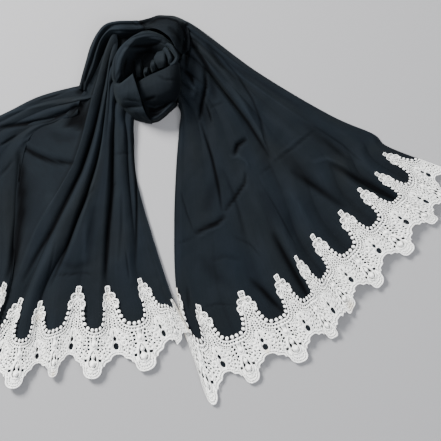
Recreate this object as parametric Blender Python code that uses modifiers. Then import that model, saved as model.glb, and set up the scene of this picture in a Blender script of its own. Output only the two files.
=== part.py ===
"""A black chiffon stole hijab laid flat, wound into a loose knot, its short ends edged in lace.

Metres, +Z up.  The scarf lies on the plane z = 0, the origin under the middle of its outline.
Tables are in millimetres, in a plan of their own: each fold line gives its place in that plan
and its lift off the surface.
"""

from math import cos, pi, radians, sin

import bmesh
import bpy
import numpy as np
from mathutils import Vector
from mathutils.geometry import delaunay_2d_cdt

MM = 0.001
MIDDLE = (5.7, 1.3)     # of the scarf's outline, in the plan of the tables

# Cut sizes
PITCH = 76.8            # one repeat of the lace, along the short end of the panel
LACE_DEPTH = 147.0      # peak tip to lobe tip
CLOTH_WALL = 1.3
LACE_WALL = 1.8
SEAM_GAP = 1.3          # in the flat, along the zigzag where lace meets cloth

# How finely the fold lines are followed
BETWEEN_FOLDS = 2
STEPS = (2, 3, 3, 3)    # rows from gather to collar, upper, lower and seam

ROW_LENGTH = 80.0       # flat length given to each station step of the cloth
LINE_STEP = 24.0        # between points of a line that keeps a fold in the flat
EDGE_MARGIN = 7.0       # where such a line stops short of an edge
GAP_MARGIN = 2.0        # of lace left beside the gaps at the ends of a trim
CORE_SIDES = 20
CORE_RINGS = 12

# Stations of a fold line, as positions in a row of the fold tables
GATHER, COLLAR, UPPER, LOWER, SEAM, TIP = range(6)

# Fold lines of the right half, from its edge by the gap round to its top selvedge.
# repeat, then (x, y, lift) at gather, collar, upper, lower, seam and tip
RIGHT_FOLDS = (
    (0.0, (40, 157, 10), (37, 128, 6), (32, 64, 3), (29, -24, 1), (32, -125, 0), (51, -224, 0)),
    (0.5, (41, 163, 16), (45, 130, 8), (45, 64, 1), (48, -29, 0), (48, -125, 0), (88, -310, 0)),
    (1.0, (42, 171, 22), (54, 133, 11), (61, 67, 4), (66, -35, 0), (67, -152, 0), (130, -293, 0)),
    (1.5, (42, 181, 18), (66, 142, 6), (77, 74, 1), (90, -29, 0), (102, -139, 0), (158, -276, 0)),
    (2.0, (43, 190, 24), (74, 154, 10), (88, 80, 2), (112, -19, 4), (135, -130, 6), (196, -262, 5)),
    (2.5, (44, 200, 20), (83, 162, 14), (104, 88, 7), (134, -11, 1), (166, -115, 0), (235, -243, 0)),
    (3.0, (45, 210, 26), (91, 168, 10), (120, 94, 5), (154, -2, 4), (191, -104, 8), (270, -230, 7)),
    (3.5, (47, 221, 21), (99, 174, 13), (136, 101, 9), (173, 8, 4), (210, -85, 0), (286, -204, 0)),
    (4.0, (50, 234, 26), (107, 179, 15), (149, 107, 10), (187, 21, 8), (222, -74, 12), (315, -204, 10)),
    (4.5, (54, 245, 21), (112, 186, 3), (162, 110, 0), (200, 35, 0), (235, -58, 0), (315, -158, 0)),
    (5.0, (55, 253, 26), (118, 189, 15), (173, 117, 11), (214, 50, 9), (248, -40, 12), (345, -146, 11)),
    (5.5, (56, 261, 22), (124, 195, 8), (185, 125, 2), (234, 62, 1), (269, -21, 0), (360, -121, 0)),
    (6.0, (56, 267, 26), (130, 199, 13), (198, 131, 9), (253, 75, 8), (293, -2, 11), (389, -96, 9)),
    (6.5, (55, 274, 22), (135, 205, 9), (211, 138, 4), (272, 83, 2), (307, 16, 0), (408, -69, 0)),
    (7.0, (54, 279, 26), (140, 209, 12), (223, 144, 8), (288, 91, 8), (323, 34, 12), (440, -46, 10)),
    (7.5, (54, 284, 22), (145, 213, 8), (235, 149, 4), (302, 99, 2), (338, 46, 0), (448, -19, 0)),
    (8.0, (53, 289, 24), (149, 216, 10), (246, 153, 7), (315, 107, 7), (350, 59, 11), (474, -10, 9)),
    (8.5, (52, 293, 20), (153, 218, 7), (258, 156, 3), (326, 114, 1), (357, 75, 0), (474, 14, 0)),
    (9.0, (51, 297, 20), (157, 220, 8), (269, 155, 5), (338, 120, 4), (363, 90, 5), (474, 38, 5)),
    (9.4, (50, 300, 10), (161, 221, 3), (280, 151, 1), (347, 122, 0), (374, 100, 0), (478, 61, 0)),
)

# Fold lines of the left half, from its edge by the gap round to where it runs under the wing
LEFT_FOLDS = (
    (1.0, (-35, 144, 6), (-35, 112, 5), (-32, 56, 4), (-11, -24, 3), (30, -126, 4.5), (66, -205, 6)),
    (1.5, (-42, 147, 12), (-40, 114, 10), (-37, 54, 6), (-21, -29, 3), (3, -120, 3), (45, -218, 5)),
    (2.0, (-49, 153, 11), (-46, 118, 5), (-43, 51, 1), (-35, -32, 0), (-27, -110, 0), (35, -242, 1)),
    (2.5, (-57, 161, 18), (-58, 125, 12), (-56, 51, 8), (-51, -32, 5), (-42, -118, 4), (-14, -257, 3)),
    (3.0, (-63, 173, 12), (-67, 138, 3), (-69, 72, 0), (-74, -29, 0), (-78, -122, 0), (-55, -267, 0)),
    (3.5, (-67, 187, 22), (-71, 149, 15), (-77, 72, 10), (-88, -29, 7), (-94, -128, 5), (-102, -270, 5)),
    (4.0, (-69, 202, 18), (-74, 160, 11), (-83, 74, 7), (-106, -30, 4), (-122, -122, 1), (-142, -267, 0)),
    (4.5, (-70, 216, 23), (-77, 171, 16), (-89, 77, 10), (-122, -34, 7), (-154, -130, 6), (-164, -267, 6)),
    (5.0, (-69, 230, 19), (-79, 181, 8), (-94, 78, 1), (-134, -38, 0), (-184, -146, 0), (-190, -277, 0)),
    (5.5, (-68, 246, 24), (-82, 187, 17), (-102, 80, 12), (-149, -35, 9), (-200, -144, 9), (-227, -285, 8)),
    (6.0, (-66, 261, 20), (-87, 192, 9), (-112, 83, 1), (-163, -29, 0), (-217, -142, 0), (-272, -283, 0)),
    (6.25, (-68, 273, 22), (-97, 184, 20), (-122, 82, 13), (-176, -26, 6), (-226, -134, 3), (-285, -275, 2)),
    (6.5, (-73, 268, 16), (-104, 178, 7), (-138, 70, 3), (-195, -26, 1), (-234, -128, 0), (-294, -267, 0)),
    (6.7, (-100, 192, 2), (-158, 143, 0), (-205, 117, 0), (-226, 10, 0), (-245, -123, 0), (-309, -256, 0)),
)

# Fold lines of the wing, the far part of the left half that is turned back over it
WING_FOLDS = (
    (6.7, (-130, 149, 8), (-160, 142, 5), (-202, 115, 3), (-220, 32, 3), (-232, -118, 3), (-285, -258, 4)),
    (7.0, (-129, 152, 9), (-165, 144, 7), (-213, 112, 5), (-235, 30, 4), (-240, -117, 6), (-310, -227, 5)),
    (7.5, (-127, 157, 9), (-172, 147, 3), (-230, 110, 0), (-264, 37, 0), (-266, -90, 0), (-352, -205, 0)),
    (8.0, (-124, 163, 12), (-178, 153, 8), (-245, 115, 5), (-291, 61, 6), (-293, -64, 9), (-390, -160, 7)),
    (8.5, (-119, 169, 10), (-181, 159, 3), (-248, 126, 0), (-307, 80, 0), (-312, -34, 0), (-416, -118, 0)),
    (9.0, (-115, 176, 13), (-182, 166, 8), (-250, 134, 6), (-315, 94, 6), (-326, -2, 8), (-437, -77, 7)),
    (9.5, (-113, 184, 10), (-183, 171, 4), (-250, 140, 1), (-320, 106, 0), (-338, 30, 0), (-453, -35, 0)),
    (10.0, (-112, 192, 10), (-184, 177, 7), (-250, 146, 5), (-323, 114, 5), (-346, 62, 7), (-462, 6, 6)),
    (10.4, (-113, 199, 4), (-185, 182, 2), (-250, 151, 0), (-325, 123, 0), (-349, 93, 0), (-467, 48, 0)),
)

# The turns of the knot: a row for each section along the turn, (x, y, lift) across it
NECK_WRAP = (
    ((-121, 204, 0), (-117, 203, 14), (-113, 202, 11), (-111, 201, 15), (-109, 200, 11)),
    ((-118, 216, 0), (-114, 214, 17), (-110, 212, 12), (-107, 210, 18), (-105, 209, 14)),
    ((-112, 237, 0), (-107, 235, 20), (-103, 232, 13), (-99, 229, 20), (-97, 227, 14)),
    ((-105, 261, 0), (-99, 258, 23), (-95, 256, 15), (-92, 253, 22), (-90, 251, 12)),
    ((-94, 283, 0), (-90, 278, 25), (-86, 274, 17), (-85, 271, 24), (-82, 269, 14)),
    ((-81, 297, 0), (-77, 292, 26), (-74, 287, 20), (-72, 284, 28), (-72, 282, 27)),
    ((-62, 302, 0), (-61, 297, 27), (-59, 292, 23), (-58, 287, 30), (-57, 282, 28)),
    ((-42, 302, 0), (-41, 298, 27), (-40, 293, 23), (-40, 288, 28), (-40, 282, 22)),
    ((-24, 302, 0), (-24, 297, 25), (-24, 292, 21), (-24, 288, 25), (-24, 285, 18)),
)
SHOULDER_TURN = (
    ((-23, 302, 0), (-23, 297, 25), (-23, 292, 21), (-23, 288, 26), (-22, 285, 22)),
    ((-10, 306, 0), (-9, 302, 27), (-6, 296, 26), (-4, 290, 36), (-2, 285, 40)),
    ((2, 311, 0), (3, 304, 30), (6, 296, 32), (9, 288, 42), (10, 280, 48)),
    ((16, 311, 0), (18, 303, 31), (21, 294, 36), (23, 283, 46), (23, 270, 51)),
    ((29, 310, 0), (30, 301, 31), (32, 290, 37), (33, 275, 44), (30, 259, 49)),
    ((40, 306, 0), (40, 296, 29), (40, 283, 32), (40, 267, 36), (36, 250, 42)),
    ((46, 303, 0), (46, 293, 24), (46, 280, 20), (45, 264, 18), (43, 247, 24)),
    ((49.2, 301.5, 0), (50.2, 297, 18), (53.1, 284.5, 22), (54.6, 270, 23), (54.2, 253, 23)),
)
LOWER_TURN = (
    ((-65, 197, 33), (-60, 195, 44), (-54, 195, 51), (-43, 202, 55), (-33, 210, 55)),
    ((-64, 182, 26), (-58, 182, 42), (-49, 183, 51), (-38, 186, 55), (-27, 192, 57)),
    ((-60, 170, 19), (-53, 170, 37), (-43, 171, 45), (-32, 173, 49), (-22, 175, 52)),
    ((-54, 161, 17), (-46, 162, 27), (-38, 163, 35), (-29, 163, 39), (-19, 163, 42)),
    ((-45, 152, 14), (-39, 154, 24), (-32, 155, 33), (-24, 155, 37), (-16, 155, 40)),
    ((-32, 144, 0), (-27, 146, 16), (-22, 148, 24), (-18, 147, 28), (-12, 147, 31)),
    ((-18, 140, 0), (-16, 141, 10), (-14, 141, 14), (-10, 141, 16), (-6, 140, 17)),
)
FRONT_TURN = (
    ((-21, 197, 30), (-8, 203, 32), (6, 208, 34), (19, 214, 36), (29, 224, 34)),
    ((-25, 201, 42), (-11, 209, 46), (3, 215, 48), (19, 222, 48), (34, 232, 42)),
    ((-24, 190, 44), (-8, 195, 50), (8, 200, 53), (24, 206, 51), (38, 214, 37)),
    ((-22, 179, 40), (-6, 181, 46), (10, 184, 49), (26, 190, 47), (39, 198, 34)),
    ((-18, 171, 34), (-5, 172, 38), (10, 174, 40), (24, 180, 38), (37, 184, 30)),
    ((-14, 160, 27), (-3, 161, 26), (8, 163, 26), (19, 168, 26), (31, 174, 25)),
    ((-9, 149, 24), (-1, 150, 25), (8, 156, 27), (18, 165, 27), (28, 172, 25)),
    ((-6, 142, 22), (2, 146, 30), (11, 152, 33), (21, 161, 33), (30, 170, 28)),
    ((-4, 138, 0), (4, 142, 0), (14, 149, 0), (24, 158, 0), (33, 166, 2)),
)

# The ring turn: bearing, then (radius, lift) from deep inside the hollow to the outer edge
KNOT_CENTRE = (-11, 211)
RING_SECTIONS = (
    (58, (38, 16), (50, 30), (56, 36), (61, 35), (65, 28)),
    (74, (38, 16.7), (53, 32), (60, 40), (65, 39), (69, 29)),
    (92, (38, 17.3), (54, 34), (61, 45), (66, 43), (72, 30)),
    (107, (35, 17.8), (53, 35), (60, 47), (65, 45), (68, 31)),
    (122, (35, 18.1), (48, 36), (55, 49), (61, 46), (65, 31)),
    (137, (35, 18.2), (44, 35), (52, 50), (59, 46), (63, 30)),
    (152, (33, 18.1), (42, 34), (50, 50), (57, 45), (61, 29)),
    (167, (29, 17.9), (40, 33), (48, 49), (55, 44), (59, 29)),
    (182, (30, 17.5), (40, 31), (47, 44), (53, 39), (57, 26)),
    (196, (32, 17), (42, 26), (47, 35), (51, 31), (54, 20)),
)

# Small upright pleats in the hollow of the knot
HOLLOW_PLEATS = (
    (
        ((-32, 234, 18.5), (-28, 237, 33), (-24, 234, 18.6)),
        ((-31, 221, 18.6), (-27, 222, 34), (-23, 221, 18.8)),
        ((-29, 209, 18.3), (-26, 210, 34), (-22, 211, 18.5)),
    ),
    (
        ((-19, 221, 18.8), (-15, 223, 34), (-12, 222, 18.6)),
        ((-18, 216, 18.7), (-14, 218, 37), (-10, 217, 18.5)),
        ((-16, 211, 18.4), (-12, 213, 36), (-9, 214, 18.3)),
    ),
    (
        ((-10, 232, 18.4), (-5, 235, 36), (-2, 234, 17.9)),
        ((-8, 225, 18.4), (-4, 227, 40), (-1, 226, 18)),
        ((-6, 218, 18.3), (-2, 219, 38), (1, 221, 17.8)),
    ),
    (
        ((1, 245, 30), (7, 247, 38), (12, 244, 32)),
        ((2, 234, 17.6), (8, 236, 42), (14, 234, 16.1)),
        ((4, 223, 17.6), (10, 226, 40), (15, 226, 16.2)),
    ),
    (
        ((10, 254, 34), (13, 255, 41), (16, 255, 36)),
        ((16, 248, 36), (19, 249, 43), (22, 248, 36)),
        ((19, 238, 36), (22, 238, 43), (25, 237, 36)),
        ((18, 230, 34), (21, 230, 41), (23, 229, 34)),
    ),
    (
        ((18, 258, 37.4), (20, 260, 47), (22, 260, 37.8)),
        ((25, 252, 38), (28, 253, 48), (30, 252, 38)),
        ((30, 243, 38), (33, 243, 48), (35, 242, 38)),
        ((28, 236, 36), (30, 235, 45), (32, 236, 37)),
    ),
)

# The hidden layers under the knot
CORE_MIDDLE = (-22, 224)
CORE_HALF_SIZE = (72.3, 74)
CORE_HEIGHT = 18.4

# One repeat of the lace in the flat, across from the peak's middle and down from its tip.
# Peak edge from the tab to the foot of the arm, on one side
PEAK_EDGE = (
    (6, 0), (6, 11), (9, 13), (10.5, 20), (15, 25), (15, 32), (12.5, 37), (15.5, 46),
    (18, 54), (21, 61.5), (26, 66), (32, 68),
)
TONGUE_END = 68.5       # depth of the cloth between two peaks
PEAK_FOOT = 74.0        # depth at which the gaps under a peak begin
# Outer edge from the valley under a peak to the round end of the lobe, on one side
LOBE_EDGE = (
    (0, 112), (6, 115.5), (11, 117), (13, 121), (20, 124.5), (22.5, 129), (26, 131), (27.5, 138),
    (32, 144.5),
)
# Gaps on the line under a peak, half outlines from top to bottom
VALLEY_GAPS = (
    ((0, 80), (2.4, 84.5), (0, 91)),
    ((0, 93.5), (3.4, 96), (3.4, 101), (0, 104)),
)
# Gaps beside the line down a lobe, as offsets from that line
LOBE_GAPS = (
    ((1.2, 84), (4.4, 86), (5.2, 91), (2.2, 89)),
    ((1.0, 99.5), (3.8, 100.5), (4.6, 106.5), (1.6, 103)),
    ((3.2, 108.5), (6.4, 110), (7.0, 119), (3.6, 125.5), (3.4, 122.5), (5.0, 118), (3.0, 113)),
)


def curve_slopes(knots, steady):
    """Slopes of a smooth curve through knots; a steady one never swings past them."""
    slopes = np.empty_like(knots)
    step = np.diff(knots, axis=0)
    slopes[0], slopes[-1] = step[0], step[-1]
    before, after = step[:-1], step[1:]
    slopes[1:-1] = (before + after) / 2
    if steady:
        same = before * after > 0
        total = np.where(same, before + after, 1.0)
        slopes[1:-1] = np.where(same, 2 * before * after / total, 0.0)
        slopes[0] = np.where(np.abs(step[0]) > 0, step[0], 0.0)
    return slopes


def along(knots, at, steady):
    """Points at parameters `at` on smooth curves through the rows of knots."""
    slopes = curve_slopes(knots, steady)
    first = np.clip(np.floor(at).astype(int), 0, len(knots) - 2)
    f = (at - first).reshape((-1,) + (1,) * (knots.ndim - 1))
    a, b = knots[first], knots[first + 1]
    return (
        (2 * f**3 - 3 * f**2 + 1) * a
        + (f**3 - 2 * f**2 + f) * slopes[first]
        + (3 * f**2 - 2 * f**3) * b
        + (f**3 - f**2) * slopes[first + 1]
    )


def on_surface(grid, rows, columns):
    """Points of the draped surface at row and column numbers of its table, in metres."""
    plan, lift = grid[:, :, :2], grid[:, :, 2]
    line_plan = along(np.swapaxes(plan, 0, 1), columns, False)
    line_lift = along(lift.T, columns, True)
    points = np.empty((len(rows), 3))
    for i, row in enumerate(rows):
        points[i, :2] = along(line_plan[i], np.array([row]), False)[0]
        points[i, 2] = along(line_lift[i], np.array([row]), True)[0]
    return (points - (*MIDDLE, 0)) * MM


def is_inside(points, loop):
    """Whether each flat point is inside a closed loop."""
    found = np.zeros(len(points), bool)
    x, y = points[:, 0], points[:, 1]
    for (ax, ay), (bx, by) in zip(loop, loop[1:] + loop[:1]):
        if ay != by:
            crosses = (ay > y) != (by > y)
            found ^= crosses & (x < (bx - ax) * (y - ay) / (by - ay) + ax)
    return found


def flat_mesh(outline, holes, inner_lines):
    """Triangles of a flat cut piece with holes; inner lines are kept as edges of it."""
    points, edges = [], []
    for loop in [outline] + holes:
        first = len(points)
        points += loop
        edges += [(first + i, first + (i + 1) % len(loop)) for i in range(len(loop))]
    for line in inner_lines:
        first = len(points)
        points += line
        edges += [(first + i, first + i + 1) for i in range(len(line) - 1)]
    result = delaunay_2d_cdt([Vector(p) for p in points], edges, [], 0, 1e-4)
    flat = np.array([tuple(p) for p in result[0]])
    triangles = np.array(result[2])
    middles = flat[triangles].mean(axis=1)
    keep = is_inside(middles, outline)
    for hole in holes:
        keep &= ~is_inside(middles, hole)
    a, b, c = (flat[triangles[:, i]] for i in range(3))
    twice_area = np.abs((b - a)[:, 0] * (c - a)[:, 1] - (b - a)[:, 1] * (c - a)[:, 0])
    keep &= twice_area > 1e-3
    return flat, triangles[keep]


def cloth_material(name, colour, roughness):
    material = bpy.data.materials.new(name)
    material.use_nodes = True
    shader = material.node_tree.nodes["Principled BSDF"]
    shader.inputs["Base Color"].default_value = (*colour, 1)
    shader.inputs["Roughness"].default_value = roughness
    shader.inputs["Metallic"].default_value = 0
    material.diffuse_color = (*colour, 1)
    return material


def add_shell(name, points, faces, wall, material, collection):
    """An open surface given a wall on its upper side."""
    mesh = bpy.data.meshes.new(name)
    mesh.from_pydata([tuple(p) for p in points], [], [tuple(int(i) for i in f) for f in faces])
    mesh.update()
    if sum(polygon.normal.z * polygon.area for polygon in mesh.polygons) < 0:
        mesh.flip_normals()
    work = bmesh.new()
    work.from_mesh(mesh)
    loose = [v for v in work.verts if not v.link_faces]
    bmesh.ops.delete(work, geom=loose, context="VERTS")
    work.to_mesh(mesh)
    work.free()
    mesh.shade_smooth()
    mesh.materials.append(material)
    piece = bpy.data.objects.new(name, mesh)
    collection.objects.link(piece)
    solid = piece.modifiers.new("wall", "SOLIDIFY")
    solid.thickness = wall * MM
    solid.offset = 1
    return piece


def repeats_of(folds):
    return np.array([row[0] for row in folds])


def grid_of(folds):
    return np.array([row[1:] for row in folds], float)


def peak_line(first, last, spread):
    """The zigzag seam from one repeat to another in the flat, moved out from the lace by spread."""
    half = PITCH / 2
    side = []
    for i, (x, y) in enumerate(PEAK_EDGE):
        before = PEAK_EDGE[max(i - 1, 0)]
        after = PEAK_EDGE[min(i + 1, len(PEAK_EDGE) - 1)]
        run = Vector((after[0] - before[0], after[1] - before[1])).normalized()
        side.append((x + spread * run.y, y - spread * run.x))
    side[0] = (side[0][0], -spread)
    side.append((half, TONGUE_END - spread))
    line = []
    for peak in range(int(np.floor(first)), int(np.ceil(last)) + 1):
        middle = peak * PITCH
        line += [(middle - x, y) for x, y in reversed(side)]
        line += [(middle + x, y) for x, y in side[:-1]]
    return clip_line(line, first * PITCH, last * PITCH)


def lobe_line(first, last):
    """The outer edge of the lace from one repeat to another in the flat."""
    line = []
    for peak in range(int(np.floor(first)), int(np.ceil(last)) + 1):
        middle = peak * PITCH
        line += [(middle - x, y) for x, y in reversed(LOBE_EDGE[1:])]
        line += [(middle + x, y) for x, y in LOBE_EDGE]
        line.append((middle + PITCH / 2, LACE_DEPTH))
    return clip_line(line, first * PITCH, last * PITCH)


def clip_line(line, low, high):
    """The part of a flat line between two values of x, which it crosses once each."""
    kept = []
    for (ax, ay), (bx, by) in zip(line, line[1:]):
        for edge in (low, high):
            if (ax < edge < bx) or (bx < edge < ax):
                kept.append((edge, ay + (by - ay) * (edge - ax) / (bx - ax)))
        if low <= bx <= high:
            kept.append((bx, by))
    if low <= line[0][0] <= high:
        kept.insert(0, line[0])
    return kept


def lace_gaps(first, last):
    """Closed outlines of the gaps that lie wholly between two repeats."""
    gaps = []
    for peak in range(int(np.floor(first)), int(np.ceil(last)) + 1):
        middle = peak * PITCH
        for half in VALLEY_GAPS:
            other = [(middle - x, y) for x, y in reversed(half) if x > 0]
            gaps.append([(middle + x, y) for x, y in half] + other)
        for outline in LOBE_GAPS:
            lobe = middle + PITCH / 2
            gaps.append([(lobe + x, y) for x, y in outline])
            gaps.append([(lobe - x, y) for x, y in reversed(outline)])
    low, high = first * PITCH + GAP_MARGIN, last * PITCH - GAP_MARGIN
    return [gap for gap in gaps if min(p[0] for p in gap) > low and max(p[0] for p in gap) < high]


def arm_depth(x):
    """Depth of the zigzag seam at a flat x, or zero over a peak's head."""
    from_peak = abs(x - PITCH * round(x / PITCH))
    arm = [p for p in PEAK_EDGE if p[0] > 15 and p[1] > 40] + [(PITCH / 2, TONGUE_END)]
    return float(np.interp(from_peak, [p[0] for p in arm], [p[1] for p in arm], left=0.0))


def fold_line(x, top, bottom):
    """Evenly spaced flat points down one fold line."""
    count = int((bottom - top) / LINE_STEP) + 1
    return [(x, float(y)) for y in np.linspace(top, bottom, count + 1)] if bottom > top else []


def flat_to_table(flat, folds):
    """Column and station numbers of flat points of the panel; y counts down from the peak tips."""
    repeats = repeats_of(folds)
    columns = np.interp(flat[:, 0] / PITCH, repeats, np.arange(len(repeats)))
    rows = SEAM + np.where(flat[:, 1] < 0, flat[:, 1] / ROW_LENGTH, flat[:, 1] / LACE_DEPTH)
    return rows, columns


def fold_positions(folds):
    """Flat x of each fold line and of the lines between them."""
    repeats = repeats_of(folds)
    finer = np.linspace(0, len(repeats) - 1, (len(repeats) - 1) * BETWEEN_FOLDS + 1)
    return np.interp(finer, np.arange(len(repeats)), repeats) * PITCH


def add_panel(name, folds, material, collection):
    """The chiffon from its gather down to the zigzag seam."""
    across = fold_positions(folds)
    down = []
    for station, steps in enumerate(STEPS):
        down += [(station - SEAM + i / steps) * ROW_LENGTH for i in range(steps)]
    down.append(-SEAM_GAP * 4)
    zigzag = peak_line(folds[0][0], folds[-1][0], SEAM_GAP)
    left = [(across[0], y) for y in down]
    right = [(across[-1], y) for y in reversed(down)]
    top = [(x, down[0]) for x in reversed(across[1:-1])]
    outline = left + zigzag + right + top
    lines = [
        [(x, y) for y in down[1:]] + fold_line(x, down[-1], arm_depth(x) - EDGE_MARGIN)[1:]
        for x in across[1:-1]
    ]
    lines += [[(x, y) for x in across] for y in down[1:]]
    flat, triangles = flat_mesh(outline, [], lines)
    rows, columns = flat_to_table(flat, folds)
    points = on_surface(grid_of(folds), columns, rows)
    return add_shell(name, points, triangles, CLOTH_WALL, material, collection)


def add_lace(name, folds, material, collection):
    """The lace trim from the zigzag seam to its lobes, with its larger gaps cut through."""
    first, last = folds[0][0], folds[-1][0]
    outline = peak_line(first, last, 0) + list(reversed(lobe_line(first, last)))
    gaps = lace_gaps(first, last)
    lines = []
    for x in fold_positions(folds)[1:-1]:
        arm = arm_depth(x)
        if arm == 0:
            lines.append(fold_line(x, EDGE_MARGIN, PEAK_FOOT))
        elif arm < TONGUE_END:
            lines.append(fold_line(x, arm + EDGE_MARGIN, LOBE_EDGE[0][1]))
    flat, triangles = flat_mesh(outline, gaps, lines)
    rows, columns = flat_to_table(flat, folds)
    points = on_surface(grid_of(folds), columns, rows)
    return add_shell(name, points, triangles, LACE_WALL, material, collection)


def add_turn(name, sections, finer, material, collection):
    """A turn of the knot lofted through its sections."""
    grid = np.array(sections, float)
    rows = np.linspace(0, grid.shape[0] - 1, (grid.shape[0] - 1) * finer[0] + 1)
    columns = np.linspace(0, grid.shape[1] - 1, (grid.shape[1] - 1) * finer[1] + 1)
    many = [(r, c) for r in rows for c in columns]
    points = on_surface(grid, np.array([m[0] for m in many]), np.array([m[1] for m in many]))
    wide = len(columns)
    faces = [
        (r * wide + c, r * wide + c + 1, (r + 1) * wide + c + 1, (r + 1) * wide + c)
        for r in range(len(rows) - 1)
        for c in range(wide - 1)
    ]
    return add_shell(name, points, faces, CLOTH_WALL, material, collection)


def ring_sections():
    """Sections of the ring turn in plan, from their bearings about the middle of the knot."""
    sections = []
    for bearing, *section in RING_SECTIONS:
        across = (cos(radians(bearing)), sin(radians(bearing)))
        sections.append(
            [(KNOT_CENTRE[0] + r * across[0], KNOT_CENTRE[1] + r * across[1], lift) for r, lift in section]
        )
    return sections


def add_core(material, collection):
    """The hidden layers of the knot as one low dome."""
    work = bmesh.new()
    bmesh.ops.create_uvsphere(work, u_segments=CORE_SIDES, v_segments=CORE_RINGS, radius=1)
    whole = work.verts[:] + work.edges[:] + work.faces[:]
    cut = bmesh.ops.bisect_plane(work, geom=whole, plane_co=(0, 0, 0), plane_no=(0, 0, -1), clear_outer=True)
    rim = [e for e in cut["geom_cut"] if isinstance(e, bmesh.types.BMEdge)]
    bmesh.ops.contextual_create(work, geom=rim)
    scale = Vector((CORE_HALF_SIZE[0], CORE_HALF_SIZE[1], CORE_HEIGHT)) * MM
    bmesh.ops.scale(work, vec=scale, verts=work.verts[:])
    place = Vector((CORE_MIDDLE[0] - MIDDLE[0], CORE_MIDDLE[1] - MIDDLE[1], 0)) * MM
    bmesh.ops.translate(work, vec=place, verts=work.verts[:])
    bmesh.ops.recalc_face_normals(work, faces=work.faces[:])
    mesh = bpy.data.meshes.new("knot_core")
    work.to_mesh(mesh)
    work.free()
    mesh.shade_smooth()
    mesh.set_sharp_from_angle(angle=pi / 4)
    mesh.materials.append(material)
    core = bpy.data.objects.new("knot_core", mesh)
    collection.objects.link(core)


def main():
    for leftover in list(bpy.data.objects):
        bpy.data.objects.remove(leftover)
    scarf = bpy.data.collections.new("hijab")
    bpy.context.scene.collection.children.link(scarf)
    chiffon = cloth_material("black_chiffon", (0.012, 0.015, 0.019), 0.8)
    cotton = cloth_material("offwhite_lace", (0.83, 0.82, 0.78), 0.85)

    panels = (("left_fan", LEFT_FOLDS), ("left_wing", WING_FOLDS), ("right_fan", RIGHT_FOLDS))
    for name, folds in panels:
        add_panel(name, folds, chiffon, scarf)
        add_lace(f"lace_{name}", folds, cotton, scarf)

    turns = (
        ("neck_wrap", NECK_WRAP, (2, 1)),
        ("shoulder_turn", SHOULDER_TURN, (2, 2)),
        ("ring_turn", ring_sections(), (2, 2)),
        ("lower_turn", LOWER_TURN, (2, 2)),
        ("front_turn", FRONT_TURN, (2, 2)),
    )
    for name, sections, finer in turns:
        add_turn(name, sections, finer, chiffon, scarf)
    for number, sections in enumerate(HOLLOW_PLEATS, 1):
        add_turn(f"hollow_pleat_{number}", sections, (2, 2), chiffon, scarf)
    add_core(chiffon, scarf)


main()
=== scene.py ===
"""A black chiffon stole hijab with crochet lace ends, laid flat in a loose knot.

Metres, +Z up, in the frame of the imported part.  Tables are in millimetres, in a plan whose origin is
MIDDLE short of the frame's: x to the right, y from the lace hems up to the knot, lift off the surface.
"""

from math import ceil, cos, floor, pi, radians, sin

import bmesh
import bpy
import numpy as np
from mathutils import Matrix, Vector, noise
from mathutils.geometry import delaunay_2d_cdt


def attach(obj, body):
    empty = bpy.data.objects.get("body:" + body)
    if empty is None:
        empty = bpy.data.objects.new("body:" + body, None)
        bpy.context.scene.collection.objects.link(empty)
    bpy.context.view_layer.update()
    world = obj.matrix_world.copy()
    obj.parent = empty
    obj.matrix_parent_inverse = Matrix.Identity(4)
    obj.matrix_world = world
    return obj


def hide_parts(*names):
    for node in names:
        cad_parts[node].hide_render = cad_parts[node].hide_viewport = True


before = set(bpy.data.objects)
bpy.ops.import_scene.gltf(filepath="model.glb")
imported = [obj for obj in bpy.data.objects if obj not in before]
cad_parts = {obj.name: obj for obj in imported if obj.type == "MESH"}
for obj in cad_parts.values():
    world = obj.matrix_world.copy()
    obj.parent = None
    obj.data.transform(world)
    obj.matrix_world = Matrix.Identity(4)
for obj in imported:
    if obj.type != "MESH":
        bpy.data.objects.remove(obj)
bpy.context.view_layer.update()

# ---------------------------------------------------------------------------------------------------
# The floor, the lights and the camera.
# A plain pale floor under soft lamps; the camera looks straight down, as the stole was photographed.

MM = 0.001
MIDDLE = (5.7, 1.3)
VIEW_MIDDLE = (103.2, -16.8)
VIEW_WIDTH = 705.6
CAMERA_HEIGHT = 2.2
SENSOR = 36.0

camera_data = bpy.data.cameras.new("camera")
camera_data.sensor_width = SENSOR
camera_data.lens = SENSOR * CAMERA_HEIGHT / (VIEW_WIDTH * MM)
camera = bpy.data.objects.new("camera", camera_data)
camera.location = ((VIEW_MIDDLE[0] - MIDDLE[0]) * MM, (VIEW_MIDDLE[1] - MIDDLE[1]) * MM, CAMERA_HEIGHT)
bpy.context.scene.collection.objects.link(camera)
bpy.context.scene.camera = camera

# name, place, size across, watts, colour
LAMPS = (
    ("window_lamp", (-1.5, 1.45, 1.5), 0.9, 320, (1.0, 0.99, 0.97)),
    ("fill_lamp", (1.5, -0.9, 2.0), 1.6, 38, (0.95, 0.97, 1.0)),
    ("top_lamp", (0.2, 0.0, 2.9), 1.4, 48, (1.0, 1.0, 1.0)),
)
for name, place, across, watts, colour in LAMPS:
    lamp = bpy.data.lights.new(name, "AREA")
    lamp.shape = "DISK"
    lamp.size = across
    lamp.energy = watts
    lamp.color = colour
    holder = bpy.data.objects.new(name, lamp)
    holder.location = place
    holder.rotation_euler = (-Vector(place)).to_track_quat("-Z", "Y").to_euler()
    bpy.context.scene.collection.objects.link(holder)

STUDIO_COLOUR = (0.86, 0.9, 1.0, 1)
STUDIO_STRENGTH = 0.62

world = bpy.data.worlds.new("studio")
bpy.context.scene.world = world
world.use_nodes = True
world.node_tree.nodes["Background"].inputs["Color"].default_value = STUDIO_COLOUR
world.node_tree.nodes["Background"].inputs["Strength"].default_value = STUDIO_STRENGTH

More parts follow.
